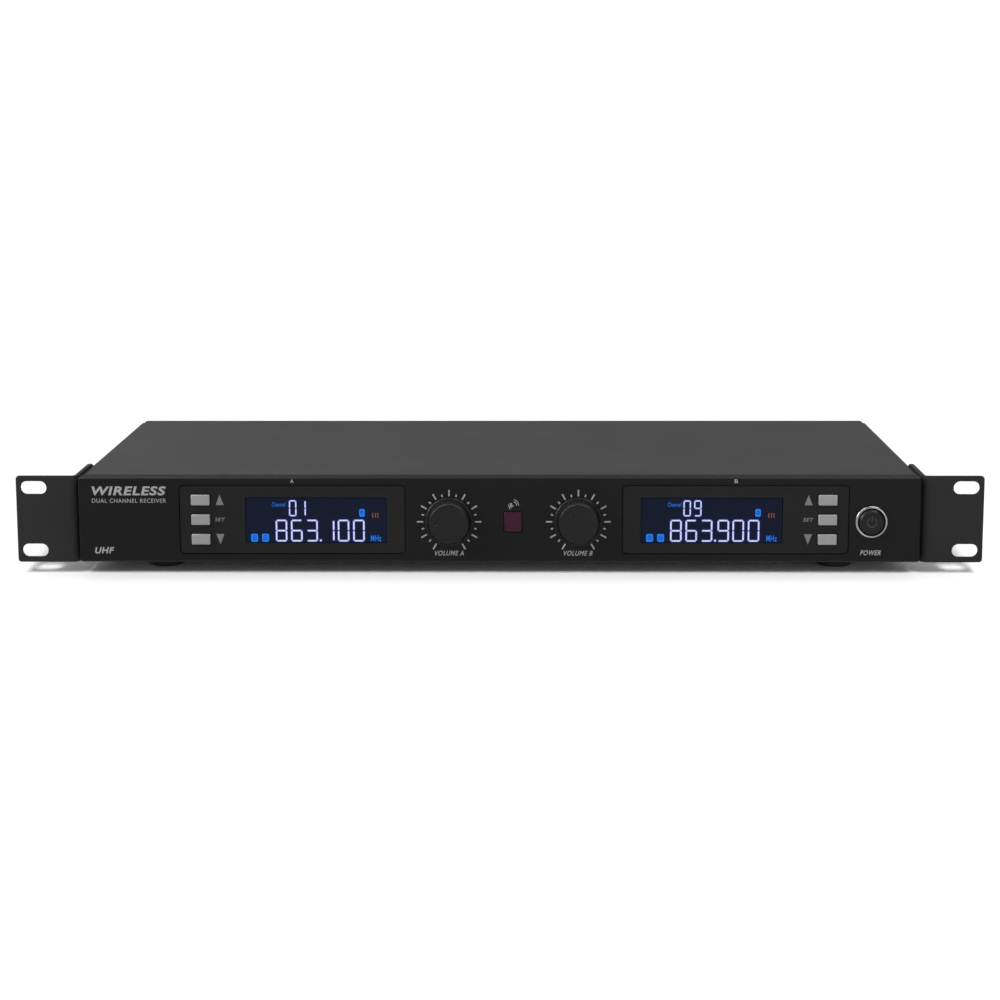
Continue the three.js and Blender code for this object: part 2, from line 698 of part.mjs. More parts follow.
// A tuner's tinned screening can, open below, with the small holes that its coils are set through.
function tuner() {
  const [width, depth, height] = tunerSize;
  const low = boardHeight + board + seat;
  const can = block(-width / 2, width / 2, tunerBack - depth, tunerBack, low, low + height);
  const room = block(-width / 2 + tunerWall, width / 2 - tunerWall, tunerBack - depth + tunerWall,
    tunerBack - tunerWall, low - BEYOND, low + height - tunerWall);
  const holes = [-20, -7, 8, 21].map((x) =>
    alongZ(circle(2, x, tunerBack - depth / 2), low + height - 3, low + height + 1, 4));
  return less(can, room, ...holes);
}

// The ribbon from the control board's header, down and back to the main board's.
function ribbon() {
  const start = controlBoardFront + board + seat;
  const end = mainBoardFront + 7;
  const high = middle + 6;
  const seatHeight = boardHeight + board + headerHeight + seat;
  const loop = 9;
  const band = 1.1;
  const outline = new THREE.Shape();
  outline.moveTo(start, high - band).lineTo(start, high);
  outline.absarc(end - loop, high - loop, loop, Math.PI / 2, 0, true);
  outline.lineTo(end, seatHeight);
  outline.lineTo(end - band, seatHeight);
  outline.absarc(end - loop, high - loop, loop - band, 0, Math.PI / 2);
  return alongX(outline, layoutCentre - 10, layoutCentre + 10, 4);
}

// A thin coaxial lead from an antenna socket, in a loop into the side of its tuner.
function antennaLead(side) {
  const start = new THREE.Vector3(side * antennaSpread, rearInside - 9.4, middle);
  const tunerX = side * 128;
  const into = tunerX + side * (tunerSize[0] / 2 + seat);
  const height = boardHeight + board + 9;
  const path = new THREE.CatmullRomCurve3([
    start,
    new THREE.Vector3(side * antennaSpread, rearInside - 16, middle - 0.6),
    new THREE.Vector3(side * (antennaSpread - 4), rearInside - 26, middle - 3),
    new THREE.Vector3(side * (antennaSpread - 12), rearInside - 32, height + 0.6),
    new THREE.Vector3(into, rearInside - 34, height),
  ]);
  return new THREE.ExtrudeGeometry(circle(1.3), { steps: 14, curveSegments: 4, extrudePath: path });
}

// ---------------------------------------------------------------- rear sockets

// A bayonet antenna socket: its locking lugs, its insulator with the centre contact, and the shoulder inside.
function antennaSocket() {
  const end = rearFace + antennaReach;
  const barrel = turnedY([
    [0, rearInside - 9], [2.2, rearInside - 9], [2.2, rearInside - 5], [5, rearInside - 5],
    [7.2, rearInside - 3.5], [7.2, rearInside - seat], [antennaThread, rearInside - seat],
    [antennaThread, rearFace + 3.4], [4.85, rearFace + 4], [4.85, end - 0.4], [4.5, end], [4.05, end],
    [4.05, end - 8.4], [2.4, end - 8.4], [2.4, end - 3.4], [0.7, end - 3.4], [0.7, end - 7], [0, end - 7],
  ], 14);
  const lugs = [-1, 1].map((side) => layFlat(turnedY([
    [0, side * 4.3], [1, side * 4.3], [1, side * 5.55], [0, side * 5.55],
  ], 8)));
  return joined(barrel, ...lugs.map((lug) => moved(lug, 0, end - 4.3, 0)));
}

function hexNut(across, hole, front, back) {
  const corners = Array.from({ length: 6 }, (_, i) => new THREE.Vector2(
    across / Math.sqrt(3) * Math.cos(i * Math.PI / 3), across / Math.sqrt(3) * Math.sin(i * Math.PI / 3)));
  return less(
    alongY(new THREE.Shape(corners), front, back),
    alongY(circle(hole), front - BEYOND, back + BEYOND, 10));
}

// A three-pin output: a flange outside, the round well with its key, and three pins.
const pinCircle = 4.75;
function outputSocket() {
  const rim = rearFace + seat + 2.6;
  const wellEnd = rim - outputWell;
  const barrelRadius = outputBore + outputWall;
  const barrel = alongY(circle(barrelRadius), wellEnd - 5, rim, 10);
  const flange = bevelledAlongY(
    rectangle(outputFlange[0], outputFlange[1], 3), rearFace + seat, rim - 0.8, 0.4, 2);
  const well = alongY(circle(outputBore), wellEnd, rim + BEYOND, 10);
  const guide = block(-1.5, 1.5, wellEnd - 1, rim - 4, outputBore - 1, outputBore + 0.5);
  const pins = [90, 210, 330].map((degrees) => {
    const angle = (degrees + 180) * Math.PI / 180;
    const pin = turnedY([
      [0, wellEnd - 1], [1.2, wellEnd - 1], [1.2, rim - 2.4], [0.6, rim - 1.6], [0, rim - 1.6],
    ], 8);
    return moved(pin, pinCircle * Math.cos(angle), 0, pinCircle * Math.sin(angle));
  });
  return joined(less(joined(barrel, flange), well), guide, ...pins);
}

const jackReach = 5;
function outputJack() {
  const body = block(-8.5, 8.5, rearInside - 26, rearInside - seat, -8, 10);
  const thread = alongY(circle(jackThread), rearInside - 2, rearFace + jackReach, 10);
  const bore = alongY(circle(jackBore), rearInside - 22, rearFace + BEYOND + jackReach, 8);
  return less(joined(body, thread), bore);
}

function powerInlet() {
  const [width, height] = inletBody;
  const face = rearFace + 0.6;
  const body = alongY(rectangle(width, height), rearInside - 13, face);
  const well = alongY(circle(inletBore), face - 9.5, face + BEYOND, 8);
  const pin = turnedY([
    [0, face - 10], [1.05, face - 10], [1.05, face - 1.2], [0.6, face - 0.7], [0, face - 0.7],
  ], 8);
  return joined(less(body, well), pin);
}

// ---------------------------------------------------------------- materials

const finish = (color, roughness, metalness = 0) =>
  new THREE.MeshStandardMaterial({ color, roughness, metalness });
const coverPaint = finish('#4d4d4d', 0.6);
const earPaint = finish('#363636', 0.6);
const panelPlastic = finish('#262626', 0.5);
const windowAcrylic = finish('#2b2b2b', 0.2);
const displayGlass = finish('#18203a', 0.25);
const keyPlastic = finish('#b4b4b4', 0.45, 0.3);
const knobPlastic = finish('#2c2c2c', 0.5);
const eyeAcrylic = finish('#43203a', 0.2);
const brightMetal = finish('#b9b9b9', 0.3, 1);
const darkPlastic = finish('#1b1b1b', 0.6);
const blackScrew = finish('#202020', 0.45, 0.6);
const rubber = finish('#161616', 0.85);
const boardGreen = finish('#1f5a35', 0.55);
const tinPlate = finish('#c3c6c8', 0.35, 1);
const cableGrey = finish('#8b8d90', 0.6);

// ---------------------------------------------------------------- assembly

const root = new THREE.Group();
const unit = new THREE.Group(); // laid out from the ears' front face
unit.position.y = unitShift;
root.add(unit);

function place(name, made, material, x = 0, y = 0, z = 0, parent = unit) {
  const geometry = made.isBufferGeometry ? made : geometryOf(made);
  const mesh = new THREE.Mesh(geometry, material);
  mesh.name = name;
  mesh.position.set(x, y, z);
  parent.add(mesh);
  return mesh;
}

place('bottom_tray', bottomTray(), coverPaint);
place('top_cover', topCover(), coverPaint);
place('front_panel', frontPanel(), panelPlastic);

const ear = geometryOf(rackEar());
const earScrew = geometryOf(sideScrew(4.1, 2.6, 2, 6.5));
const coverScrew = geometryOf(sideScrew(2.9, 1.9, 1.5, 4.5));
for (const [side, sign] of [['left', -1], ['right', 1]]) {
  const half = new THREE.Group(); // the left half is the right half mirrored
  half.scale.x = sign;
  unit.add(half);
  place(`${side}_rack_ear`, ear, earPaint, 0, 0, 0, half);
  for (const [level, end] of [['lower', -1], ['upper', 1]]) {
    place(`${side}_ear_screw_${level}`, earScrew, blackScrew,
      earInside + earSheet + seat, earScrewBack, middle + end * earScrewRise, half);
  }
  coverScrewPlaces.forEach((y, i) => {
    place(`${side}_cover_screw_${i + 1}`, coverScrew, blackScrew,
      bodyWidth / 2 + seat, y, bodyTop - coverScrewDrop, half);
  });
}

for (const [name, x, y] of footPlaces) {
  place(`foot_${name}`, foot(), rubber, x, y);
  place(`foot_screw_${name}`, footScrew(), blackScrew, x, y);
}

for (const channel of ['a', 'b']) {
  const side = outward[channel];
  place(`display_window_${channel}`, displayWindow(channel), windowAcrylic);
  place(`display_module_${channel}`, displayModule(channel), displayGlass);
  place(`display_board_${channel}`, displayBoard(channel), boardGreen);
  for (const row of Object.keys(keyRows)) {
    const [x, z] = keyPlace(channel, row);
    place(`${row}_button_${channel}`, key(), keyPlastic, x, 0, z);
  }
  for (const [name, made, material] of [['knob', knob(), knobPlastic], ['shaft', shaft(), brightMetal]]) {
    place(`volume_${name}_${channel}`, made, material, knobPlaces[channel], 0, controlHeight)
      .rotation.y = THREE.MathUtils.degToRad(knobRest[channel]);
  }
  place(`volume_pot_${channel}`, pot(), tinPlate, knobPlaces[channel], 0, controlHeight);
  place(`tuner_${channel}`, tuner(), tinPlate, side * 128);
  place(`antenna_lead_${channel}`, antennaLead(side), darkPlastic);
  place(`antenna_socket_${channel}`, antennaSocket(), brightMetal, side * antennaSpread, 0, middle);
  place(`antenna_nut_${channel}`, hexNut(14.5, antennaThread + seat, rearFace + seat, rearFace + 2.8),
    brightMetal, side * antennaSpread, 0, middle);
  place(`output_socket_${channel}`, outputSocket(), darkPlastic, outputPlaces[channel], 0, middle);
}

place('control_board', controlBoard(), boardGreen);
place('eye_window', eyeWindow(), eyeAcrylic, layoutCentre + eyeShift, 0, controlHeight);
place('eye_sensor', eyeSensor(), darkPlastic, layoutCentre + eyeShift, 0, controlHeight);
place('power_ring', powerRing(), brightMetal, powerPlace, 0, controlHeight);
place('power_button', powerButton(), knobPlastic, powerPlace, 0, controlHeight);
place('power_switch', powerSwitch(), darkPlastic, powerPlace, 0, controlHeight);
place('main_board', mainBoard(), boardGreen);
place('ribbon_cable', ribbon(), cableGrey);
place('mix_output_jack', outputJack(), darkPlastic, jackPlace, 0, middle);
place('mix_output_nut', hexNut(14, jackThread + seat, rearFace + seat, rearFace + 2.6), brightMetal,
  jackPlace, 0, middle);
place('power_inlet', powerInlet(), darkPlastic, inletPlace, 0, middle);

export default root;
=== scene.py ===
"""The looks of a two-channel wireless microphone receiver, one rack unit high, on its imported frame.

The file is laid out as an add-on and run as a script. Lengths in the making functions are
millimetres on the frame's axes: +X to the right seen from the front, +Y to the rear, +Z up.
"""

import math

import bmesh
import bpy
from mathutils import Matrix, Vector


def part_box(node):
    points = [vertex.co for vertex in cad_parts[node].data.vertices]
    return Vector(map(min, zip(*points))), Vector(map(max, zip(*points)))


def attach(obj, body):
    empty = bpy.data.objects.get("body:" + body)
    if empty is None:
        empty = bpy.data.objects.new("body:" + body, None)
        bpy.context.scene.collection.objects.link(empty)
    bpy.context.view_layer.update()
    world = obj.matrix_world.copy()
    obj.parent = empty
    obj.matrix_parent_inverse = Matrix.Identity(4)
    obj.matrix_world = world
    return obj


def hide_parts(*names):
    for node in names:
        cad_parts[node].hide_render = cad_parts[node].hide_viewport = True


bl_info = {
    "name": "Wireless receiver unit",
    "version": (1, 0, 0),
    "blender": (4, 5, 0),
    "location": "View3D > Sidebar > Receiver",
    "description": "Builds the looks of a rack-mount wireless receiver on its packed frame",
    "category": "Object",
}

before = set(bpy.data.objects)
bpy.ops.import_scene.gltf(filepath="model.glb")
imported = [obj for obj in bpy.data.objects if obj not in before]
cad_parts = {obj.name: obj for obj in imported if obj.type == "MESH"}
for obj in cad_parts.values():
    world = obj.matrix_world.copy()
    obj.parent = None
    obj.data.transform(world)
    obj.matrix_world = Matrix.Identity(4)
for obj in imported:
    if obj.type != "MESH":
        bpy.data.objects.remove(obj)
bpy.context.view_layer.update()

MM = 0.001
ROOT = "receiver"
CHANNELS = ("a", "b")
ROWS = ("up", "set", "down")
CORNERS = ("front_left", "front_right", "rear_left", "rear_right")
OUTWARD = {"a": -1, "b": 1}  # the side of its field on which a channel's keys stand
PRINT = 0.04  # thickness of printed ink
SUNK = 0.01  # how far printing is let into the surface under it


def box_mm(node):
    """Lowest and highest corners of a CAD node, in millimetres."""
    low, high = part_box(node)
    return low / MM, high / MM


def middle_mm(node):
    low, high = box_mm(node)
    return (low + high) / 2


PANEL_FACE = box_mm("front_panel")[0].y
PANEL_MIDDLE = middle_mm("front_panel").z
WINDOW_FACE = box_mm("display_window_a")[0].y
REAR_FACE = box_mm("bottom_tray")[1].y
GLASS_FACE = box_mm("display_module_a")[0].y
EARS_FACE = box_mm("left_rack_ear")[0].y


def srgb(code):
    """An sRGB hex colour as linear red, green, blue and alpha."""
    channels = [int(code[i : i + 2], 16) / 255 for i in (1, 3, 5)]
    linear = [c / 12.92 if c <= 0.04045 else ((c + 0.055) / 1.055) ** 2.4 for c in channels]
    return linear + [1.0]


# ---------------------------------------------------------------- settings


def colour_setting(name, description, code):
    return bpy.props.FloatVectorProperty(
        name=name, description=description, subtype="COLOR", size=4, min=0, max=1, default=srgb(code)
    )


def size_setting(name, description, millimetres):
    return bpy.props.FloatProperty(
        name=name, description=description, unit="LENGTH", min=0, default=millimetres * MM
    )


def number_setting(name, description, value):
    return bpy.props.FloatProperty(name=name, description=description, min=0, default=value)


class ReceiverFinishes(bpy.types.PropertyGroup):
    """Colours of the unit's materials."""

    cover: colour_setting("Case", "Powder coat of the cover and the tray", "#2d2d2d")
    ears: colour_setting("Ears", "Powder coat of the rack ears", "#242424")
    panel: colour_setting("Panel", "Moulding of the front panel", "#0e0e0e")
    window: colour_setting("Windows", "Cover plates of the two fields", "#161616")
    keys: colour_setting("Keys", "Sprayed silver of the push keys", "#7a7a7a")
    knobs: colour_setting("Knobs", "Moulding of the knobs and the power button", "#0d0d0d")
    ink: colour_setting("Ink", "Captions and scale marks", "#868686")
    faint_ink: colour_setting("Faint ink", "Arrows and words beside the keys", "#606060")
    eye: colour_setting("Eye", "Infrared filter of the receiver eye", "#2c0a1e")
    glass: colour_setting("Display", "Unlit ground of the displays", "#0c1428")
    lit: colour_setting("Figures", "Lit figures of the displays", "#d3d8ff")
    blue: colour_setting("Signs", "Lit blue signs of the displays", "#0f78f0")


class ReceiverScales(bpy.types.PropertyGroup):
    """The printed scales round the volume knobs."""

    sweep: bpy.props.FloatProperty(
        name="Sweep", description="Angle from the first mark to the last", subtype="ANGLE",
        default=math.radians(300),
    )
    long_marks: bpy.props.IntProperty(
        name="Long marks", description="Marks at the steps", min=2, default=11
    )
    inner: size_setting("Inner radius", "Where every mark starts", 12.9)
    outer: size_setting("Outer radius", "Where the long marks end", 16.1)
    short: size_setting("Short mark", "Length of the marks between", 1.3)
    width: size_setting("Width", "Width of a mark", 0.75)


class ReceiverKnobs(bpy.types.PropertyGroup):
    """The volume knobs."""

    ribs: bpy.props.IntProperty(name="Ribs", description="Ribs round the grip", min=8, default=64)
    rib_width: size_setting("Rib width", "Width of one rib", 0.68)
    rib_height: size_setting("Rib height", "How far a rib stands from the grip", 0.5)
    crown: size_setting("Crown", "Rise of the face's middle over its edge", 0.25)


class ReceiverStage(bpy.types.PropertyGroup):
    """The floor and the lights."""

    floor: colour_setting("Floor", "Paper under and behind the unit", "#f6f6f6")
    floor_size: size_setting("Floor size", "Side of the floor", 24000)
    overhead: number_setting("Overhead", "Power of each light above", 20)
    front: number_setting("Front", "Power of the light in front", 17)
    left: number_setting("Left", "Power of the light on the left", 28)
    paper_light: number_setting("Paper light", "Low light on the paper", 5.8)
    paper_soft: number_setting("Soft paper light", "Broad light on the paper", 0.85)
    ceiling: number_setting("Ceiling", "Brightness of the room above", 0.13)


# ---------------------------------------------------------------- materials


def add_node(tree, kind, settings=None, inputs=None):
    """A node with its settings; an input takes a value or another node's output."""
    made = tree.nodes.new(kind)
    for name, value in (settings or {}).items():
        setattr(made, name, value)
    for key, value in (inputs or {}).items():
        if isinstance(value, bpy.types.NodeSocket):
            tree.links.new(value, made.inputs[key])
        else:
            made.inputs[key].default_value = value
    return made


def finish(shader_inputs):
    """Turns a function that gives a shader's inputs into one that finds or makes a named material."""

    def make(name, colour, *details, **named_details):
        if name in bpy.data.materials:
            return bpy.data.materials[name]
        material = bpy.data.materials.new(name)
        material.use_nodes = True
        tree = material.node_tree
        tree.nodes.clear()
        place = add_node(tree, "ShaderNodeTexCoord").outputs["Object"]
        inputs = shader_inputs(tree, place, colour, *details, **named_details)
        shader = add_node(tree, "ShaderNodeBsdfPrincipled", inputs=inputs)
        add_node(tree, "ShaderNodeOutputMaterial", inputs={"Surface": shader.outputs[0]})
        return material

    return make


def grain(tree, place, size, detail=2.0, stretch=(1, 1, 1)):
    """Noise whose blobs are `size` millimetres across."""
    turned = add_node(tree, "ShaderNodeMapping", inputs={"Vector": place, "Scale": stretch})
    return add_node(tree, "ShaderNodeTexNoise", inputs={
        "Vector": turned.outputs[0], "Scale": 1 / (size * MM), "Detail": detail, "Roughness": 0.55,
    }).outputs["Fac"]


def spread(tree, factor, low, high):
    """A factor's middle half spread from low to high."""
    return add_node(tree, "ShaderNodeMapRange", inputs={
        "Value": factor, "From Min": 0.3, "From Max": 0.7, "To Min": low, "To Max": high,
    }).outputs[0]


def toned(tree, factor, colour, darker, lighter):
    """A colour that wanders with a factor between a darker and a lighter share of itself."""
    shade = [[c * share for c in colour[:3]] + [1] for share in (darker, lighter)]
    return add_node(tree, "ShaderNodeMix", {"data_type": "RGBA"}, {
        "Factor": factor, 6: shade[0], 7: shade[1],
    }).outputs[2]


def bumped(tree, height, depth, strength=1.0):
    return add_node(tree, "ShaderNodeBump", inputs={
        "Height": height, "Distance": depth * MM, "Strength": strength,
    }).outputs[0]


@finish
def powder_coat(tree, place, colour, grit=0.45, roughness=0.5, gloss=0.06):
    """Polyester powder coat, baked on steel: a half-matt skin of fine grit, faintly cloudy."""
    fine = grain(tree, place, grit, 3)
    cloud = grain(tree, place, 38, 1)
    return {
        "Base Color": toned(tree, spread(tree, cloud, 0, 1), colour, 0.94, 1.05),
        "Roughness": spread(tree, fine, roughness - 0.05, roughness + 0.07),
        "IOR": 1.5,
        "Specular IOR Level": gloss,
        "Normal": bumped(tree, fine, 0.03, 0.5),
    }


@finish
def moulded_plastic(tree, place, colour, grit=0.3, roughness=0.45, depth=0.012, gloss=0.09):
    """Injection-moulded ABS with the fine spark texture of its mould: dark, even, with a soft sheen."""
    fine = grain(tree, place, grit, 2)
    flow = grain(tree, place, 26, 1, (0.4, 1, 1))
    return {
        "Base Color": toned(tree, spread(tree, flow, 0, 1), colour, 0.95, 1.05),
        "Roughness": spread(tree, fine, roughness - 0.04, roughness + 0.05),
        "IOR": 1.53,
        "Specular IOR Level": gloss,
        "Normal": bumped(tree, fine, depth, 0.5),
    }


@finish
def sprayed_silver(tree, place, colour):
    """ABS sprayed with silver lacquer: light grey, with fine flakes under a satin clear coat."""
    flakes = add_node(tree, "ShaderNodeTexVoronoi", inputs={"Vector": place, "Scale": 1 / (0.12 * MM)})
    flake = spread(tree, flakes.outputs["Distance"], 0, 1)
    return {
        "Base Color": toned(tree, flake, colour, 0.93, 1.06),
        "Metallic": 0.25,
        "Roughness": 0.42,
        "Coat Weight": 0.2,
        "Coat Roughness": 0.25,
        "Normal": bumped(tree, flakes.outputs["Distance"], 0.006, 0.3),
    }


@finish
def plated_metal(tree, place, colour, roughness=0.25, brush=0.25):
    """Plated metal: bright, with the fine lines that turning or rolling leaves under the plate."""
    rings = grain(tree, place, brush, 2, (1, 6, 1))
    return {
        "Base Color": toned(tree, spread(tree, rings, 0, 1), colour, 0.92, 1.04),
        "Metallic": 1.0,
        "Roughness": spread(tree, rings, roughness - 0.06, roughness + 0.08),
        "Normal": bumped(tree, rings, 0.004, 0.4),
    }


@finish
def black_oxide(tree, place, colour):
    """Steel screws blackened in a hot salt bath: dark, half-matt metal in faint patches."""
    patches = grain(tree, place, 1.6, 3)
    return {
        "Base Color": toned(tree, spread(tree, patches, 0, 1), colour, 0.8, 1.25),
        "Metallic": 0.85,
        "Roughness": spread(tree, patches, 0.3, 0.46),
        "Normal": bumped(tree, patches, 0.01, 0.3),
    }


@finish
def rubber(tree, place, colour):
    """Moulded synthetic rubber: deep matt black with a fine dusty bloom."""
    bloom = grain(tree, place, 0.5, 4)
    return {
        "Base Color": toned(tree, spread(tree, bloom, 0, 1), colour, 0.85, 1.25),
        "Roughness": spread(tree, bloom, 0.7, 0.9),
        "IOR": 1.52,
        "Normal": bumped(tree, bloom, 0.03, 0.4),
    }


@finish
def screen_ink(tree, place, colour):
    """Screen-printed epoxy ink: flat, slightly uneven where the mesh has laid it down."""
    mesh_marks = grain(tree, place, 0.2, 2)
    return {
        "Base Color": toned(tree, spread(tree, mesh_marks, 0, 1), colour, 0.85, 1.08),
        "Roughness": 0.6,
        "IOR": 1.5,
        "Normal": bumped(tree, mesh_marks, 0.006, 0.4),
    }


@finish
def filter_acrylic(tree, place, colour):
    """Dyed acrylic that passes infrared: smooth and glossy, its colour a little uneven."""
    depth = grain(tree, place, 9, 0)
    return {
        "Base Color": toned(tree, spread(tree, depth, 0, 1), colour, 0.7, 1.25),
        "Roughness": 0.16,
        "IOR": 1.49,
        "Specular IOR Level": 0.12,
    }


@finish
def display_ground(tree, place, colour):
    """The unlit ground of a backlit display: near-black blue that glows faintly and unevenly."""
    glow = spread(tree, grain(tree, place, 14, 1), 0, 1)
    cells = add_node(tree, "ShaderNodeTexVoronoi", inputs={"Vector": place, "Scale": 1 / (0.3 * MM)})
    light = toned(tree, glow, colour, 0.8, 1.25)
    return {
        "Base Color": toned(tree, cells.outputs["Distance"], colour, 0.5, 0.7),
        "Roughness": 0.2,
        "IOR": 1.5,
        "Specular IOR Level": 0.06,
        "Emission Color": light,
        "Emission Strength": 0.3,
    }


@finish
def lit_figure(tree, place, colour, strength):
    """A lit segment or sign: light through a printed mask, a little uneven along its length."""
    mask = spread(tree, grain(tree, place, 1.1, 1), 0, 1)
    light = toned(tree, mask, colour, 0.88, 1.06)
    return {
        "Base Color": toned(tree, mask, colour, 0.2, 0.25),
        "Roughness": 0.3,
        "Specular IOR Level": 0.1,
        "Emission Color": light,
        "Emission Strength": strength,
    }


@finish
def circuit_board(tree, place, colour):
    """Glass-fibre board under solder mask: glossy green, with lighter tracks showing through."""
    tracks = add_node(tree, "ShaderNodeTexBrick", {"offset": 0.3}, {
        "Vector": place, "Scale": 1 / (6 * MM), "Mortar Size": 0.08,
        "Color1": (0, 0, 0, 1), "Color2": (0.15, 0.15, 0.15, 1), "Mortar": (1, 1, 1, 1),
    })
    return {
        "Base Color": toned(tree, tracks.outputs["Color"], colour, 0.8, 1.7),
        "Roughness": 0.35,
        "Coat Weight": 0.4,
        "Coat Roughness": 0.15,
        "Normal": bumped(tree, tracks.outputs["Fac"], 0.02, 0.5),
    }


@finish
def ribbed_jacket(tree, place, colour, pitch):
    """The PVC jacket of a flat ribbon lead: one ridge for each wire."""
    wires = add_node(tree, "ShaderNodeTexWave", {"bands_direction": "X"}, {
        "Vector": place, "Scale": 0.314 / (pitch * MM), "Distortion": 0.0,
    }).outputs["Fac"]
    return {
        "Base Color": toned(tree, wires, colour, 0.75, 1.05),
        "Roughness": 0.5,
        "Normal": bumped(tree, wires, 0.15, 0.6),
    }


@finish
def paper(tree, place, colour):
    """Seamless background paper: matt white with a very soft tooth."""
    tooth = grain(tree, place, 3, 2)
    return {
        "Base Color": toned(tree, spread(tree, tooth, 0, 1), colour, 0.995, 1.0),
        "Roughness": 0.9,
        "Specular IOR Level": 0.1,
    }


# ---------------------------------------------------------------- making meshes


def add_piece(name, shape, material, body=ROOT, smooth_below=35):
    """A bmesh in millimetres becomes a named object in metres that rides on a body."""
    bmesh.ops.transform(shape, matrix=Matrix.Scale(MM, 4), verts=shape.verts)
    for face in shape.faces:
        face.smooth = True
    for edge in shape.edges:
        edge.smooth = len(edge.link_faces) == 2 and edge.calc_face_angle(0) < math.radians(smooth_below)
    mesh = bpy.data.meshes.new(name)
    shape.to_mesh(mesh)
    shape.free()
    mesh.materials.append(material)
    made = bpy.data.objects.new(name, mesh)
    bpy.context.scene.collection.objects.link(made)
    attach(made, body)
    return made


def rounded_copy(node, material, edge, body=ROOT, segments=3, name=None):
    """A CAD node's own solid with its facets merged and its edges rounded, standing for the node."""
    shape = bmesh.new()
    shape.from_mesh(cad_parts[node].data)
    bmesh.ops.transform(shape, matrix=Matrix.Scale(1 / MM, 4), verts=shape.verts)
    bmesh.ops.remove_doubles(shape, verts=shape.verts, dist=0.002)
    bmesh.ops.dissolve_limit(shape, angle_limit=math.radians(0.6), verts=shape.verts, edges=shape.edges)
    made = add_piece(name or f"{node}_finished", shape, material, body)
    bevel = made.modifiers.new("edges", "BEVEL")
    bevel.width = edge * MM
    bevel.segments = segments
    bevel.limit_method = "ANGLE"
    bevel.angle_limit = math.radians(40)
    bevel.harden_normals = True
    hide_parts(node)
    return made


def finish_nodes(material, *nodes):
    """CAD nodes keep their solids and take a finish."""
    for node in nodes:
        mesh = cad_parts[node].data
        mesh.materials.clear()
        mesh.materials.append(material)


def prism(shape, outline, face, thickness=PRINT):
    """A flat closed piece: an outline of (x, z) points, its front at y = face."""
    count = len(outline)
    front = [shape.verts.new((x, face, z)) for x, z in outline]
    back = [shape.verts.new((x, face + thickness, z)) for x, z in outline]
    faces = [shape.faces.new(front), shape.faces.new(back[::-1])]
    for i in range(count):
        j = (i + 1) % count
        faces.append(shape.faces.new((front[j], front[i], back[i], back[j])))
    bmesh.ops.recalc_face_normals(shape, faces=faces)


def bar(shape, start, end, width, face):
    """A straight stroke between two (x, z) points."""
    along = (Vector(end) - Vector(start)).normalized() * width / 2
    across = Vector((-along.y, along.x))
    outline = [Vector(start) + across, Vector(start) - across, Vector(end) - across, Vector(end) + across]
    prism(shape, outline, face)


def arc(shape, centre, radius, width, first, last, face, steps=16):
    """A curved stroke: angles in degrees from the +X side, turning upwards."""
    inner, outer = [], []
    for i in range(steps + 1):
        angle = math.radians(first + (last - first) * i / steps)
        ray = Vector((math.cos(angle), math.sin(angle)))
        inner.append(Vector(centre) + ray * (radius - width / 2))
        outer.append(Vector(centre) + ray * (radius + width / 2))
    prism(shape, outer + inner[::-1], face)


def rectangle(centre, width, height, corner, steps=5):
    """Outline points of a rectangle about an (x, z) centre, with round corners."""
    points = []
    for quarter, (sx, sz) in enumerate(((1, 1), (-1, 1), (-1, -1), (1, -1))):
        x = centre[0] + sx * (width / 2 - corner)
        z = centre[1] + sz * (height / 2 - corner)
        for i in range(steps + 1):
            angle = math.pi / 2 * (quarter + i / steps)
            points.append((x + corner * math.cos(angle), z + corner * math.sin(angle)))
    return points


def turned(profile, centre=(0, 0), sides=96):
    """A profile of (radius, y) points revolved about the Y axis through (x, z). It starts and ends on the
    axis, or closes on its first point."""
    shape = bmesh.new()
    rings = []
    for radius, y in profile:
        ring = []
        for i in range(sides if radius else 1):
            angle = 2 * math.pi * i / sides
            ring.append(shape.verts.new((centre[0] + radius * math.cos(angle), y,
                                         centre[1] + radius * math.sin(angle))))
        rings.append(ring)
    closed = len(rings[0]) > 1
    for first, second in zip(rings, rings[1:] + (rings[:1] if closed else [])):
        for i in range(sides):
            j = (i + 1) % sides
            corners = [ring[k % len(ring)] for ring, k in ((first, i), (first, j), (second, j), (second, i))]
            shape.faces.new(list(dict.fromkeys(corners)))
    bmesh.ops.recalc_face_normals(shape, faces=shape.faces)
    return shape


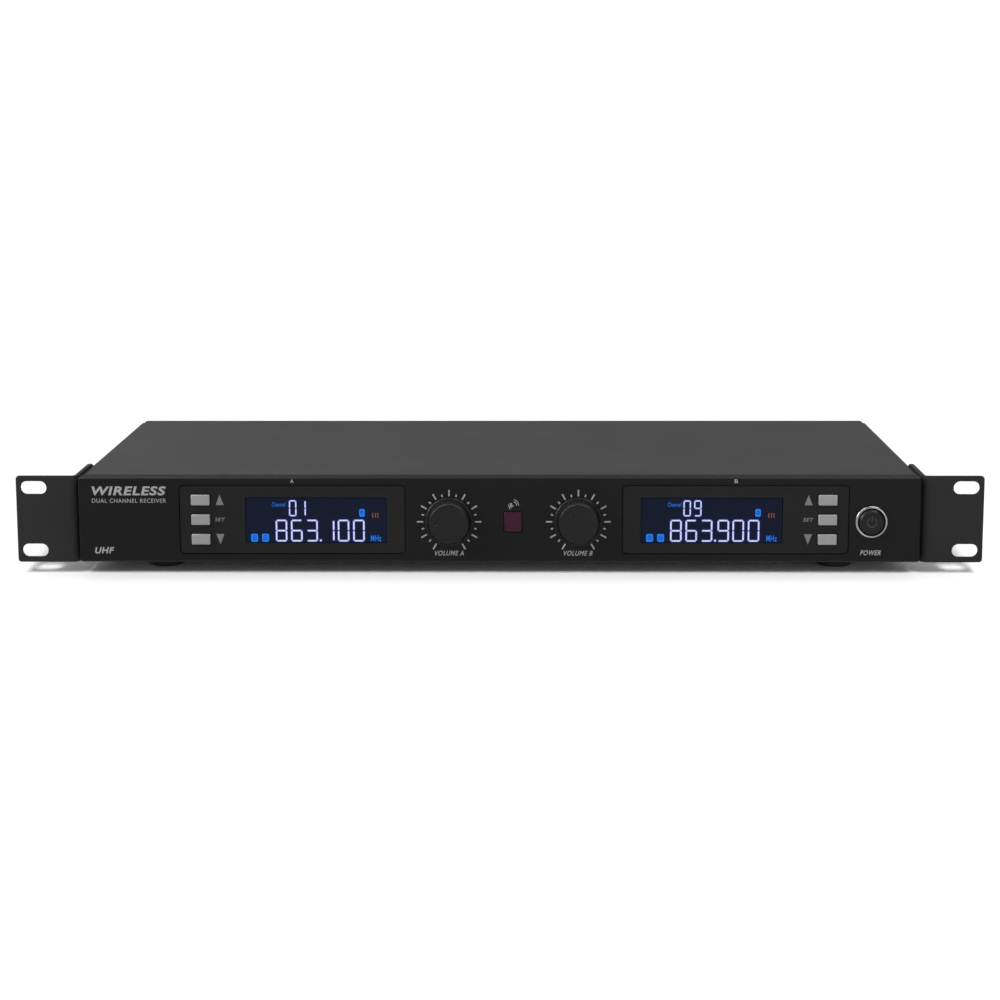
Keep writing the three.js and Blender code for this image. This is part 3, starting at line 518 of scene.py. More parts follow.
def lettering(words, centre, width, height, face, slant=0.0, weight=0.0, turn=0.0, away=False):
    """Words as a flat closed mesh that fills width by height about an (x, z) centre.

    They are read from the front, or with `away` from behind.
    """
    depth = 0.04  # of the words before they are scaled
    curve = bpy.data.curves.new("words", "FONT")
    curve.body = words
    curve.shear = slant
    curve.space_character = 1.12
    curve.offset = weight
    curve.extrude = depth / 2
    curve.resolution_u = 4
    source = bpy.data.objects.new("words", curve)
    bpy.context.scene.collection.objects.link(source)
    bpy.context.view_layer.update()
    mesh = bpy.data.meshes.new_from_object(source.evaluated_get(bpy.context.evaluated_depsgraph_get()))
    bpy.data.objects.remove(source)
    bpy.data.curves.remove(curve)
    shape = bmesh.new()
    shape.from_mesh(mesh)
    bpy.data.meshes.remove(mesh)
    xs = [v.co.x for v in shape.verts]
    ys = [v.co.y for v in shape.verts]
    scale_x = width / (max(xs) - min(xs))
    scale_y = height / (max(ys) - min(ys))
    centring = Matrix.Translation((-(max(xs) + min(xs)) / 2, -(max(ys) + min(ys)) / 2, 0))
    size = Matrix.Diagonal((scale_x, scale_y, PRINT / depth, 1))
    upright = Matrix.Rotation(math.pi / 2, 4, "X")
    if away:
        upright = Matrix.Rotation(math.pi, 4, "Z") @ upright
    lean = Matrix.Rotation(-math.radians(turn), 4, "Y")
    there = Matrix.Translation((centre[0], face + (PRINT / 2 if away else -PRINT / 2), centre[1]))
    bmesh.ops.transform(shape, matrix=there @ lean @ upright @ size @ centring, verts=shape.verts)
    bmesh.ops.remove_doubles(shape, verts=shape.verts, dist=0.0005)
    bmesh.ops.recalc_face_normals(shape, faces=shape.faces)
    return shape


def merged(*shapes):
    """Several bmeshes as one."""
    whole = bmesh.new()
    for shape in shapes:
        mesh = bpy.data.meshes.new("part")
        shape.to_mesh(mesh)
        shape.free()
        whole.from_mesh(mesh)
        bpy.data.meshes.remove(mesh)
    return whole


# ---------------------------------------------------------------- geometry nodes


def node_tree(name, sockets):
    """An empty geometry tree with its named inputs, and the outputs of its input node."""
    tree = bpy.data.node_groups.new(name, "GeometryNodeTree")
    for socket_name, kind, default in sockets:
        socket = tree.interface.new_socket(name=socket_name, in_out="INPUT", socket_type=kind)
        if default is not None:
            socket.default_value = default
    tree.interface.new_socket(name="Geometry", in_out="OUTPUT", socket_type="NodeSocketGeometry")
    return tree, add_node(tree, "NodeGroupInput").outputs


def paint_copies(tree, copies, given):
    """Ends a tree: the copies become plain mesh and take the material."""
    real = add_node(tree, "GeometryNodeRealizeInstances", inputs={"Geometry": copies.outputs[0]})
    painted = add_node(tree, "GeometryNodeSetMaterial", inputs={
        "Geometry": real.outputs[0], "Material": given["Material"],
    })
    add_node(tree, "NodeGroupOutput", inputs={"Geometry": painted.outputs[0]})


def round_axis_tree():
    """Copies of one object turned in even steps about an axis along Y, joined to what comes in."""
    tree, given = node_tree("Round an axis", (
        ("Geometry", "NodeSocketGeometry", None),
        ("Template", "NodeSocketObject", None),
        ("Centre", "NodeSocketVector", None),
        ("Count", "NodeSocketInt", 12),
        ("First angle", "NodeSocketFloat", 0.0),
        ("Step", "NodeSocketFloat", 0.5),
        ("Material", "NodeSocketMaterial", None),
    ))
    points = add_node(tree, "GeometryNodePoints", inputs={
        "Count": given["Count"], "Position": given["Centre"],
    })
    index = add_node(tree, "GeometryNodeInputIndex").outputs[0]
    angle = add_node(tree, "ShaderNodeMath", {"operation": "MULTIPLY_ADD"},
                     {0: index, 1: given["Step"], 2: given["First angle"]}).outputs[0]
    turn = add_node(tree, "ShaderNodeCombineXYZ", inputs={"Y": angle}).outputs[0]
    template = add_node(tree, "GeometryNodeObjectInfo", inputs={"Object": given["Template"]})
    copies = add_node(tree, "GeometryNodeInstanceOnPoints", inputs={
        "Points": points.outputs[0], "Instance": template.outputs["Geometry"], "Rotation": turn,
    })
    join = add_node(tree, "GeometryNodeJoinGeometry", inputs={"Geometry": copies.outputs[0]})
    tree.links.new(given["Geometry"], join.inputs[0])
    paint_copies(tree, join, given)
    return tree


def at_points_tree():
    """Copies of one object at points, each facing along its own direction and spun by a seeded angle."""
    tree, given = node_tree("At points", (
        ("Geometry", "NodeSocketGeometry", None),
        ("Template", "NodeSocketObject", None),
        ("Spin", "NodeSocketFloat", math.pi),
        ("Seed", "NodeSocketInt", 7),
        ("Material", "NodeSocketMaterial", None),
    ))
    facing = add_node(tree, "GeometryNodeInputNamedAttribute", {"data_type": "FLOAT_VECTOR"}, {
        "Name": "facing",
    })
    spin = add_node(tree, "FunctionNodeRandomValue", {"data_type": "FLOAT"}, {
        3: given["Spin"], "Seed": given["Seed"],
    })
    axis = add_node(tree, "FunctionNodeAlignRotationToVector", {"axis": "Z"}, {
        "Vector": facing.outputs[0],
    })
    spun = add_node(tree, "FunctionNodeRotateRotation", {"rotation_space": "LOCAL"}, {
        0: axis.outputs[0],
        1: add_node(tree, "ShaderNodeCombineXYZ", inputs={"Z": spin.outputs[1]}).outputs[0],
    })
    template = add_node(tree, "GeometryNodeObjectInfo", inputs={"Object": given["Template"]})
    copies = add_node(tree, "GeometryNodeInstanceOnPoints", inputs={
        "Points": given["Geometry"], "Instance": template.outputs["Geometry"], "Rotation": spun.outputs[0],
    })
    paint_copies(tree, copies, given)
    return tree


def grown(name, shape, tree, template, inputs, material, body=ROOT, shift=(0, 0, 0)):
    """Runs a geometry tree on a mesh with a template, and keeps the plain mesh it gives, moved by a shift."""
    holders = []
    for label, source in (("start", shape), ("template", template)):
        bmesh.ops.transform(source, matrix=Matrix.Scale(MM, 4), verts=source.verts)
        mesh = bpy.data.meshes.new(f"{name}_{label}")
        source.to_mesh(mesh)
        source.free()
        holders.append(bpy.data.objects.new(f"{name}_{label}", mesh))
        bpy.context.scene.collection.objects.link(holders[-1])
    start, pattern = holders
    grow = start.modifiers.new("grow", "NODES")
    grow.node_group = tree
    sockets = {item.name: item.identifier for item in tree.interface.items_tree if item.in_out == "INPUT"}
    for key, value in {**inputs, "Template": pattern, "Material": material}.items():
        grow[sockets[key]] = value
    bpy.context.view_layer.update()
    mesh = bpy.data.meshes.new_from_object(start.evaluated_get(bpy.context.evaluated_depsgraph_get()))
    for holder in holders:
        bpy.data.objects.remove(holder)
    grown_shape = bmesh.new()
    grown_shape.from_mesh(mesh)
    bpy.data.meshes.remove(mesh)
    if not grown_shape.verts:
        raise RuntimeError(f"{name}: the geometry tree gave nothing")
    bmesh.ops.transform(grown_shape, matrix=Matrix.Scale(1 / MM, 4), verts=grown_shape.verts)
    bmesh.ops.translate(grown_shape, verts=grown_shape.verts, vec=shift)
    return add_piece(name, grown_shape, material, body)


def tree_named(name, build):
    return bpy.data.node_groups.get(name) or build()


# ---------------------------------------------------------------- making the unit's pieces


def finishes():
    return bpy.context.scene.receiver_finishes


def knob_plastic():
    return moulded_plastic("satin_abs_knob", finishes().knobs, 0.2, 0.36, gloss=0.15)


def printing_ink():
    return screen_ink("screen_ink_captions", finishes().ink)


def nickel_plate():
    return plated_metal("nickel_plated_brass", srgb("#8c8c8c"))


def knob_body(crown, front, back, pointer_angle):
    """A knob about the Y axis: a smooth domed face with a pointer dimple, a grip, and a bore behind."""
    flat = 9.1  # radius of the domed face
    face_steps = 45
    skirt = 12.3
    bore = 3.35
    bore_end = back - 4.0
    dimple_place = 6.7  # from the face's middle
    dimple_radius = 0.85
    dimple_depth = 0.5
    profile = []
    for i in range(face_steps + 1):
        radius = flat * i / face_steps
        profile.append((radius, front + 0.2 + crown * (radius / flat) ** 2))
    profile += [
        (9.45, front + 0.56), (9.7, front + 0.76), (9.85, front + 1.05), (9.75, front + 1.5),
        (11.0, back - 2.0), (11.15, back - 1.7), (11.8, back - 1.45), (12.15, back - 1.15),
        (skirt, back - 0.8), (skirt, back - 0.15), (12.15, back),
        (bore, back), (bore, bore_end), (0, bore_end),
    ]
    shape = turned(profile, sides=192)
    centre = Vector((math.sin(pointer_angle), math.cos(pointer_angle))) * dimple_place
    for vert in shape.verts:
        away = (Vector((vert.co.x, vert.co.z)) - centre).length
        if vert.co.y < front + 0.8 and away < dimple_radius:
            vert.co.y += dimple_depth * math.cos(away / dimple_radius * math.pi / 2) ** 0.6
    return shape


def grip_rib(width, height, front, back):
    """One rib of the grip, from under the domed face to the skirt, at the top of the knob."""
    shape = bmesh.new()
    sections = (  # y, radius of the grip, share of the rib's height
        (front + 1.35, 9.6, 0.35), (front + 1.9, 9.75, 0.9),
        (back - 2.3, 10.85, 1.1), (back - 1.6, 11.1, 0.9),
    )
    rings = []
    for y, radius, share in sections:
        top = radius + height * share
        foot = radius - 0.15
        outline = (
            (-0.5, foot), (-0.32, top - 0.1), (-0.12, top), (0.12, top), (0.32, top - 0.1), (0.5, foot),
        )
        rings.append([shape.verts.new((x * width, y, z)) for x, z in outline])
    sides = len(rings[0])
    for first, second in zip(rings, rings[1:]):
        for i in range(sides):
            j = (i + 1) % sides
            shape.faces.new((first[i], first[j], second[j], second[i]))
    shape.faces.new(rings[0][::-1])
    shape.faces.new(rings[-1])
    bmesh.ops.recalc_face_normals(shape, faces=shape.faces)
    return shape


def build_knobs():
    knobs = bpy.context.scene.receiver_knobs
    rests = {"a": -90, "b": -45}  # where the pointers stand, in degrees clockwise from the top
    tree = tree_named("Round an axis", round_axis_tree)
    for channel in CHANNELS:
        node = f"volume_knob_{channel}"
        low, high = box_mm(node)
        place = (low + high) / 2
        rib = grip_rib(knobs.rib_width / MM, knobs.rib_height / MM, low.y, high.y)
        knob = knob_body(knobs.crown / MM, low.y, high.y, math.radians(rests[channel]))
        made = grown(f"{node}_ribbed", knob, tree, rib, {
            "Centre": (0.0, 0.0, 0.0), "Count": knobs.ribs, "First angle": math.pi / knobs.ribs,
            "Step": 2 * math.pi / knobs.ribs,
        }, knob_plastic(), f"volume_control_{channel}", shift=(place.x, 0, place.z))
        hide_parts(node)
    finish_nodes(nickel_plate(), "volume_shaft_a", "volume_shaft_b")


def print_scales():
    """The marks round each knob."""
    scales = bpy.context.scene.receiver_scales
    tree = tree_named("Round an axis", round_axis_tree)
    step = scales.sweep / (scales.long_marks - 1)
    inner, outer, short = scales.inner / MM, scales.outer / MM, scales.short / MM
    for channel in CHANNELS:
        place = middle_mm(f"volume_knob_{channel}")
        for name, count, first, reach in (
            ("long", scales.long_marks, -scales.sweep / 2, outer),
            ("short", scales.long_marks - 1, -scales.sweep / 2 + step / 2, inner + short),
        ):
            mark = bmesh.new()
            bar(mark, (0, inner), (0, reach), scales.width / MM, PANEL_FACE - PRINT + SUNK)
            grown(f"scale_{channel}_{name}_marks", bmesh.new(), tree, mark, {
                "Centre": (0.0, 0.0, 0.0), "Count": count, "First angle": first, "Step": step,
            }, printing_ink(), shift=(place.x, 0, place.z))


def print_caption(name, words, place, size, **style):
    """Words on the panel, of a (width, height), about an (x, z) place."""
    add_piece(f"caption_{name}", lettering(words, place, *size, PANEL_FACE + SUNK, **style), printing_ink())


def print_captions():
    """The captions on the panel, placed from its edges, its middle and the pieces that they name."""
    low, high = box_mm("front_panel")
    for channel in CHANNELS:
        letter = channel.upper()
        knob = middle_mm(f"volume_knob_{channel}").x
        print_caption(f"volume_{channel}", f"VOLUME {letter}", (knob, low.z + 4.55), (14.4, 2.5),
                      slant=0.3, weight=0.01)
        field = middle_mm(f"display_window_{channel}").x
        print_caption(f"channel_{channel}", letter, (field + 0.1, high.z - 1.95), (1.7, 1.9), weight=0.02)
    power = middle_mm("power_ring").x
    kind = low.x + 25.4
    print_caption("power", "POWER", (power - 0.2, low.z + 4.85), (10.4, 2.6), slant=0.3, weight=0.02)
    print_caption("kind", "WIRELESS", (kind, PANEL_MIDDLE + 14.6), (37, 4.6), slant=0.2, weight=0.03)
    print_caption("use", "DUAL CHANNEL RECEIVER", (kind, PANEL_MIDDLE + 9.6), (37, 2.1))
    print_caption("band", "UHF", (low.x + 12.5, low.z + 5.9), (9.6, 3.3), slant=0.2, weight=0.03)


def print_key_marks():
    """An arrow or a word beside every key, printed on its window."""
    ink = screen_ink("screen_ink_key_marks", finishes().faint_ink)
    aside = 9.6  # from a key's middle to its mark's
    half_height, half_width = 2.6, 2.0  # of an arrow
    for channel in CHANNELS:
        for row in ROWS:
            place = middle_mm(f"{row}_button_{channel}")
            x = place.x - OUTWARD[channel] * aside
            if row == "set":
                word = lettering("SET", (x, place.z), 5.1, 1.9, WINDOW_FACE + SUNK, slant=0.2, weight=0.02)
                add_piece(f"mark_set_{channel}", word, ink)
                continue
            tip = half_height if row == "up" else -half_height
            arrow = bmesh.new()
            prism(arrow, [
                (x, place.z + tip), (x - half_width, place.z - tip), (x + half_width, place.z - tip),
            ], WINDOW_FACE - PRINT + SUNK)
            add_piece(f"mark_{row}_{channel}", arrow, ink)


# ---------------------------------------------------------------- displays

# The seven strokes of a figure, a to g, as the ends of a stroke in a 1 by 2 frame
STROKES = {
    "a": ((0, 2), (1, 2)), "b": ((1, 2), (1, 1)), "c": ((1, 1), (1, 0)), "d": ((0, 0), (1, 0)),
    "e": ((0, 1), (0, 0)), "f": ((0, 2), (0, 1)), "g": ((0, 1), (1, 1)),
}
FIGURES = {"0": "abcdef", "1": "bc", "3": "abcdg", "6": "afedcg", "8": "abcdefg", "9": "abcdfg"}


def figure(shape, sign, centre, width, height, stroke, face, thickness, swell=0.0):
    """One seven-stroke figure; swell widens and lengthens its strokes, for the glow under them."""
    across, up = width - stroke, (height - stroke) / 2
    gap = 0.16 * stroke
    for name in FIGURES[sign]:
        start, end = (
            Vector((centre[0] + (point[0] - 0.5) * across, centre[1] + (point[1] - 1) * up))
            for point in STROKES[name]
        )
        along = (end - start).normalized()
        side = Vector((-along.y, along.x)) * (stroke / 2 + swell)
        first, last = start + along * (gap - swell), end - along * (gap - swell)
        if swell:
            outline = [first + side, first - side, last - side, last + side]
        else:
            cut = along * stroke / 2
            outline = [
                first, first + cut - side, last - cut - side, last, last - cut + side, first + cut + side,
            ]
        prism(shape, outline, face, thickness)


def lit_numbers(layout, x, z, face):
    """The channel's number and the frequency about a display's middle, and the glow under them."""
    thickness = 0.06
    glow = thickness / 2
    small = (3.7, 8.1, 0.6)  # width, height and stroke of the number's figures
    tall = (5.75, 11.1, 0.76)  # and of the frequency's
    places = (0.0, 7.64, 15.3, 19.6, 23.6, 31.05, 38.7)  # figures and the point, from the first figure
    placed = [(sign, (x + place, z + 6.1), small) for sign, place in layout["number"]]
    placed += [
        (sign, (x + layout["start"] + place, z - 5.25), tall)
        for sign, place in zip(layout["frequency"], places)
    ]
    figures, halo = bmesh.new(), bmesh.new()
    for sign, centre, size in placed:
        if sign == ".":
            foot = (centre[0], centre[1] - 5.0)
            prism(figures, rectangle(foot, 0.9, 0.9, 0.1), face, thickness)
            prism(halo, rectangle(foot, 1.6, 1.6, 0.1), face + glow, glow)
        else:
            figure(figures, sign, centre, *size, face, thickness)
            figure(halo, sign, centre, *size, face + glow, glow, swell=0.34)
    return figures, halo


def build_displays():
    """The lit figures and signs of each display, a little in front of its ground."""
    ground = display_ground("backlit_display_ground", finishes().glass)
    finish_nodes(ground, "display_module_a", "display_module_b")
    lit = lit_figure("lit_display_figures", finishes().lit, 0.75)
    blue = lit_figure("lit_display_signs", finishes().blue, 0.8)
    glow = lit_figure("display_glow", srgb("#1c3a96"), 0.4)
    warm = lit_figure("lit_mute_sign", srgb("#a05a34"), 0.5)
    dark = lit_figure("unlit_sign_mask", srgb("#0b2f80"), 0.5)
    layouts = {  # the middles of the number's figures and of the frequency's first, from the display's
        "a": {"number": (("0", -11.6), ("1", -6.9)), "frequency": "863.100", "start": -17.35},
        "b": {"number": (("0", -12.3), ("9", -7.0)), "frequency": "863.900", "start": -17.8},
    }
    face = GLASS_FACE - 0.05
    for channel, layout in layouts.items():
        middle = middle_mm(f"display_module_{channel}")
        x, z = middle.x, middle.z
        figures, halo = lit_numbers(layout, x, z, face)
        add_piece(f"display_figures_{channel}", figures, lit)
        add_piece(f"display_glow_{channel}", halo, glow)
        signs, marks, mute = bmesh.new(), bmesh.new(), bmesh.new()
        low_signs = [(x + place, z - 8.9) for place in (-30.9, -25.4)]
        high_sign = (x + 23.0, z + 3.8)
        for sign in low_signs:
            prism(signs, rectangle(sign, 3.5, 4.0, 0.7), face)
        prism(signs, rectangle(high_sign, 2.8, 3.9, 0.7), face)
        words = lettering("Channel", (x - 18.6, z + 8.0), 6.6, 2.1, face + PRINT)
        units = lettering("MHz", (x + 29.9, z - 9.1), 5.2, 3.0, face + PRINT, weight=0.01)
        add_piece(f"display_signs_{channel}", merged(signs, words, units), blue)
        mark_face = face - PRINT / 2
        for sign in low_signs:
            for rise in (-0.9, 0.0, 0.9):
                height = sign[1] + rise
                bar(marks, (sign[0] - 1.0, height), (sign[0] + 1.0, height), 0.32, mark_face)
        arc(marks, (high_sign[0], high_sign[1] + 0.1), 0.7, 0.35, 0, 350, mark_face)
        add_piece(f"display_sign_marks_{channel}", marks, dark)
        for place in (29.8, 31.2, 32.4):
            arc(mute, (x + place, z + 2.5), 1.6, 0.42, 135, 225, face)
        add_piece(f"display_mute_{channel}", mute, warm)


# ---------------------------------------------------------------- operators


class BuildCase(bpy.types.Operator):
    """Round the edges of the folded tray and cover, and coat them."""

    bl_idname = "receiver.case"
    bl_label = "Case"

    def execute(self, context):
        coat = powder_coat("powder_coat_case", finishes().cover)
        rounded_copy("top_cover", coat, 0.22)
        rounded_copy("bottom_tray", coat, 0.15)
        return {"FINISHED"}


class BuildEars(bpy.types.Operator):
    """Finish the rack ears."""

    bl_idname = "receiver.ears"
    bl_label = "Rack ears"

    def execute(self, context):
        coat = powder_coat("powder_coat_ears", finishes().ears)
        for side in ("left", "right"):
            rounded_copy(f"{side}_rack_ear", coat, 0.25)
        return {"FINISHED"}


class BuildPanel(bpy.types.Operator):
    """Finish the front panel and the two windows."""

    bl_idname = "receiver.panel"
    bl_label = "Front panel"

    def execute(self, context):
        panel = moulded_plastic("spark_textured_abs_panel", finishes().panel)
        rounded_copy("front_panel", panel, 0.28)
        window = moulded_plastic("satin_acrylic_window", finishes().window, 0.25, 0.38, 0.006)
        for channel in CHANNELS:
            rounded_copy(f"display_window_{channel}", window, 0.15)
        return {"FINISHED"}


class BuildDisplays(bpy.types.Operator):
    """Light the displays."""

    bl_idname = "receiver.displays"
    bl_label = "Displays"

    def execute(self, context):
        build_displays()
        return {"FINISHED"}


class BuildKeys(bpy.types.Operator):
    """Round the push keys, and print their marks."""

    bl_idname = "receiver.keys"
    bl_label = "Keys"

    def execute(self, context):
        silver = sprayed_silver("silver_lacquer_keys", finishes().keys)
        for channel in CHANNELS:
            for row in ROWS:
                node = f"{row}_button_{channel}"
                rounded_copy(node, silver, 0.18, f"{row}_key_{channel}")
        print_key_marks()
        return {"FINISHED"}


class BuildKnobs(bpy.types.Operator):
    """Turn the volume knobs and rib them."""

    bl_idname = "receiver.knobs"
    bl_label = "Volume knobs"

    def execute(self, context):
        build_knobs()
        return {"FINISHED"}


class PrintPanel(bpy.types.Operator):
    """Print the scales and the captions on the panel."""

    bl_idname = "receiver.printing"
    bl_label = "Panel printing"

    def execute(self, context):
        print_scales()
        print_captions()
        return {"FINISHED"}


class BuildEye(bpy.types.Operator):
    """Make the infrared eye, and print its sign above it."""

    bl_idname = "receiver.eye"
    bl_label = "Infrared eye"

    def execute(self, context):
        acrylic = filter_acrylic("dyed_acrylic_filter", finishes().eye)
        rounded_copy("eye_window", acrylic, 0.3, segments=4)
        finish_nodes(moulded_plastic("black_epoxy_sensor", srgb("#141414")), "eye_sensor")
        middle = middle_mm("eye_window")
        x, above = middle.x, middle.z + 5.1
        sign = lettering("IR", (x - 1.2, above + 2.9), 2.6, 2.3, PANEL_FACE + SUNK,
                         slant=0.3, weight=0.02, turn=38)
        waves = bmesh.new()
        for radius in (1.6, 2.6):
            arc(waves, (x + 0.2, above + 3.4), radius, 0.34, -8, 84, PANEL_FACE - PRINT + SUNK)
        add_piece("caption_eye", merged(sign, waves), printing_ink())
        return {"FINISHED"}


class BuildPower(bpy.types.Operator):
    """Turn the power button's ring, round its cap, and print the power sign on it."""

    bl_idname = "receiver.power"
    bl_label = "Power button"

    def execute(self, context):
        low, high = box_mm("power_ring")
        centre = ((low.x + high.x) / 2, (low.z + high.z) / 2)
        outer, neck, inner = 8.1, 7.05, 6.6
        seat = PANEL_FACE - 0.3
        ring = turned([
            (inner, low.y + 0.9), (inner + 0.1, low.y + 0.5), (inner + 0.3, low.y + 0.18),
            (inner + 0.55, low.y + 0.03), (inner + 0.75, low.y), (inner + 0.95, low.y + 0.04),
            (outer - 0.3, low.y + 0.18), (outer - 0.1, low.y + 0.4), (outer, low.y + 0.65),
            (outer, seat), (neck, seat), (neck, high.y), (inner, high.y),
        ], centre, 128)
        made = add_piece("power_ring_turned", ring, nickel_plate())
        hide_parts("power_ring")
        rounded_copy("power_button", knob_plastic(), 0.12, "power_key")
        face = box_mm("power_button")[0].y - 0.03
        stroke = 0.5
        sign = bmesh.new()
        arc(sign, centre, 2.3, stroke, 125, 415, face, 40)
        bar(sign, (centre[0], centre[1] + 0.6), (centre[0], centre[1] + 3.1), stroke, face)
        add_piece("power_sign", sign, screen_ink("screen_ink_power_sign", srgb("#1c1c1c")), "power_key")
        finish_nodes(moulded_plastic("black_nylon_switch", srgb("#171717")), "power_switch")
        return {"FINISHED"}


def pan_head(radius, height, sides=28):
    """A pan head with a cross recess, standing on z = 0 and facing +Z."""
    shape = bmesh.new()
    rings = []
    for share, rise in ((1.0, 0.0), (1.0, 0.35), (0.93, 0.62), (0.78, 0.84), (0.55, 0.97)):
        ring = []
        for i in range(sides):
            angle = 2 * math.pi * i / sides
            ring.append(shape.verts.new((radius * share * math.cos(angle), radius * share * math.sin(angle),
                                         height * rise)))
        rings.append(ring)
    for first, second in zip(rings, rings[1:]):
        for i in range(sides):
            j = (i + 1) % sides
            shape.faces.new((first[i], first[j], second[j], second[i]))
    shape.faces.new(rings[0][::-1])
    arm, half = 0.50 * radius, 0.11 * radius
    cross = [
        (half, half), (half, arm), (-half, arm), (-half, half), (-arm, half), (-arm, -half),
        (-half, -half), (-half, -arm), (half, -arm), (half, -half), (arm, -half), (arm, half),
    ]
    corners = len(cross)
    mouth = [shape.verts.new((x, y, height * 0.98)) for x, y in cross]
    floor = [shape.verts.new((x * 0.7, y * 0.7, height * 0.35)) for x, y in cross]
    for i in range(corners):
        j = (i + 1) % corners
        shape.faces.new((mouth[j], mouth[i], floor[i], floor[j]))
    shape.faces.new(floor)
    edges = [shape.edges.get((loop[i], loop[(i + 1) % len(loop)])) for loop in (rings[-1], mouth)
             for i in range(len(loop))]
    bmesh.ops.triangle_fill(shape, edges=edges, use_beauty=True)
    bmesh.ops.recalc_face_normals(shape, faces=shape.faces)
    return shape


def threaded_shank(radius, start, end, place, pitch=0.8):
    """A screw's shank along X with the ridges of its thread."""
    low, high = sorted((start, end))
    root = radius * 0.82
    profile = [(0, low)]
    count = max(2, round((high - low) / pitch))
    for i in range(count):
        y = low + (high - low) * i / count
        profile += [(root, y), (radius, y + (high - low) / count * 0.5)]
    profile += [(root, high), (0, high)]
    shape = turned(profile, sides=24)
    turn = Matrix.Translation((0, place.y, place.z)) @ Matrix.Rotation(-math.pi / 2, 4, "Z")
    bmesh.ops.transform(shape, matrix=turn, verts=shape.verts)
    bmesh.ops.recalc_face_normals(shape, faces=shape.faces)
    return shape


class BuildScrews(bpy.types.Operator):
    """Set cross-recessed heads and threaded shanks on the ear and cover screws, and blacken the foot screws.
    """

    bl_idname = "receiver.screws"
    bl_label = "Screws"

    def execute(self, context):
        oxide = black_oxide("black_oxide_screw", srgb("#343434"))
        tree = tree_named("At points", at_points_tree)
        groups = {  # endings of the nodes' names, radius and height of the head, radius of the thread
            "ear": (("lower", "upper"), 4.1, 2.6, 2.0),
            "cover": ((1, 2), 2.9, 1.9, 1.5),
        }
        for name, (endings, radius, height, thread) in groups.items():
            nodes = [f"{side}_{name}_screw_{ending}" for side in ("left", "right") for ending in endings]
            seats, shanks = bmesh.new(), bmesh.new()
            layer = seats.verts.layers.float_vector.new("facing")
            for node in nodes:
                low, high = box_mm(node)
                place = (low + high) / 2
                side = math.copysign(1, place.x)
                tip, seat = (low.x, high.x - height) if side > 0 else (high.x, low.x + height)
                seats.verts.new((seat, place.y, place.z))[layer] = Vector((side, 0, 0))
                shanks = merged(shanks, threaded_shank(thread, tip, seat + side * 0.2, place))
            heads = grown(f"{name}_screw_heads", seats, tree, pan_head(radius, height),
                          {"Seed": 11}, oxide)
            rods = add_piece(f"{name}_screw_threads", shanks, oxide)
            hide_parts(*nodes)
            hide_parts(*nodes)
        finish_nodes(oxide, *[f"foot_screw_{corner}" for corner in CORNERS])
        return {"FINISHED"}


class BuildFeet(bpy.types.Operator):
    """Mould the feet."""

    bl_idname = "receiver.feet"
    bl_label = "Feet"

    def execute(self, context):
        black = rubber("black_rubber_foot", srgb("#161616"))
        for corner in CORNERS:
            rounded_copy(f"foot_{corner}", black, 0.4)
        return {"FINISHED"}


class BuildRearSockets(bpy.types.Operator):
    """Finish the sockets on the rear wall."""

    bl_idname = "receiver.rear_sockets"
    bl_label = "Rear sockets"

    def execute(self, context):
        nickel = nickel_plate()
        black = moulded_plastic("black_nylon_socket", srgb("#151515"), 0.3, 0.4)
        for channel in CHANNELS:
            rounded_copy(f"antenna_socket_{channel}", nickel, 0.12)
            rounded_copy(f"antenna_nut_{channel}", nickel, 0.25)
            rounded_copy(f"output_socket_{channel}", black, 0.2)
        rounded_copy("mix_output_jack", black, 0.15)
        rounded_copy("mix_output_nut", nickel, 0.25)
        rounded_copy("power_inlet", black, 0.12)
        self.plate_pins()
        return {"FINISHED"}

    def plate_pins(self):
        """Silver contacts over the moulded pins of the outputs."""
        silver = plated_metal("silver_plated_contact", srgb("#d8d4cc"), 0.22)
        circle = 4.75  # radius on which the pins stand
        radius = 1.24
        for channel in CHANNELS:
            low, high = box_mm(f"output_socket_{channel}")
            x, z = (low.x + high.x) / 2, (low.z + high.z) / 2
            tip, root = high.y - 1.5, high.y - 15.3
            pins = bmesh.new()
            for degrees in (270, 30, 150):
                angle = math.radians(degrees)
                centre = (x + circle * math.cos(angle), z + circle * math.sin(angle))
                pins = merged(pins, turned([
                    (0, tip), (0.5, tip - 0.04), (0.85, tip - 0.3), (1.15, tip - 0.8), (radius, tip - 1.1),
                    (radius, root), (0, root),
                ], centre, 32))
            add_piece(f"output_contacts_{channel}", pins, silver)


class PrintRear(bpy.types.Operator):
    """Print the names of the sockets on the rear wall."""

    bl_idname = "receiver.rear_printing"
    bl_label = "Rear printing"

    def execute(self, context):
        ink = printing_ink()
        names = {
            "antenna_socket_a": "ANT A", "antenna_socket_b": "ANT B", "output_socket_a": "OUTPUT A",
            "output_socket_b": "OUTPUT B", "mix_output_jack": "MIX OUT", "power_inlet": "DC IN",
        }
        height = box_mm("bottom_tray")[0].z + 4.2
        for node, words in names.items():
            caption = lettering(words, (middle_mm(node).x, height), 2.05 * len(words), 2.2, REAR_FACE - SUNK,
                                away=True)
            add_piece(f"rear_caption_{node}", caption, ink)
        return {"FINISHED"}


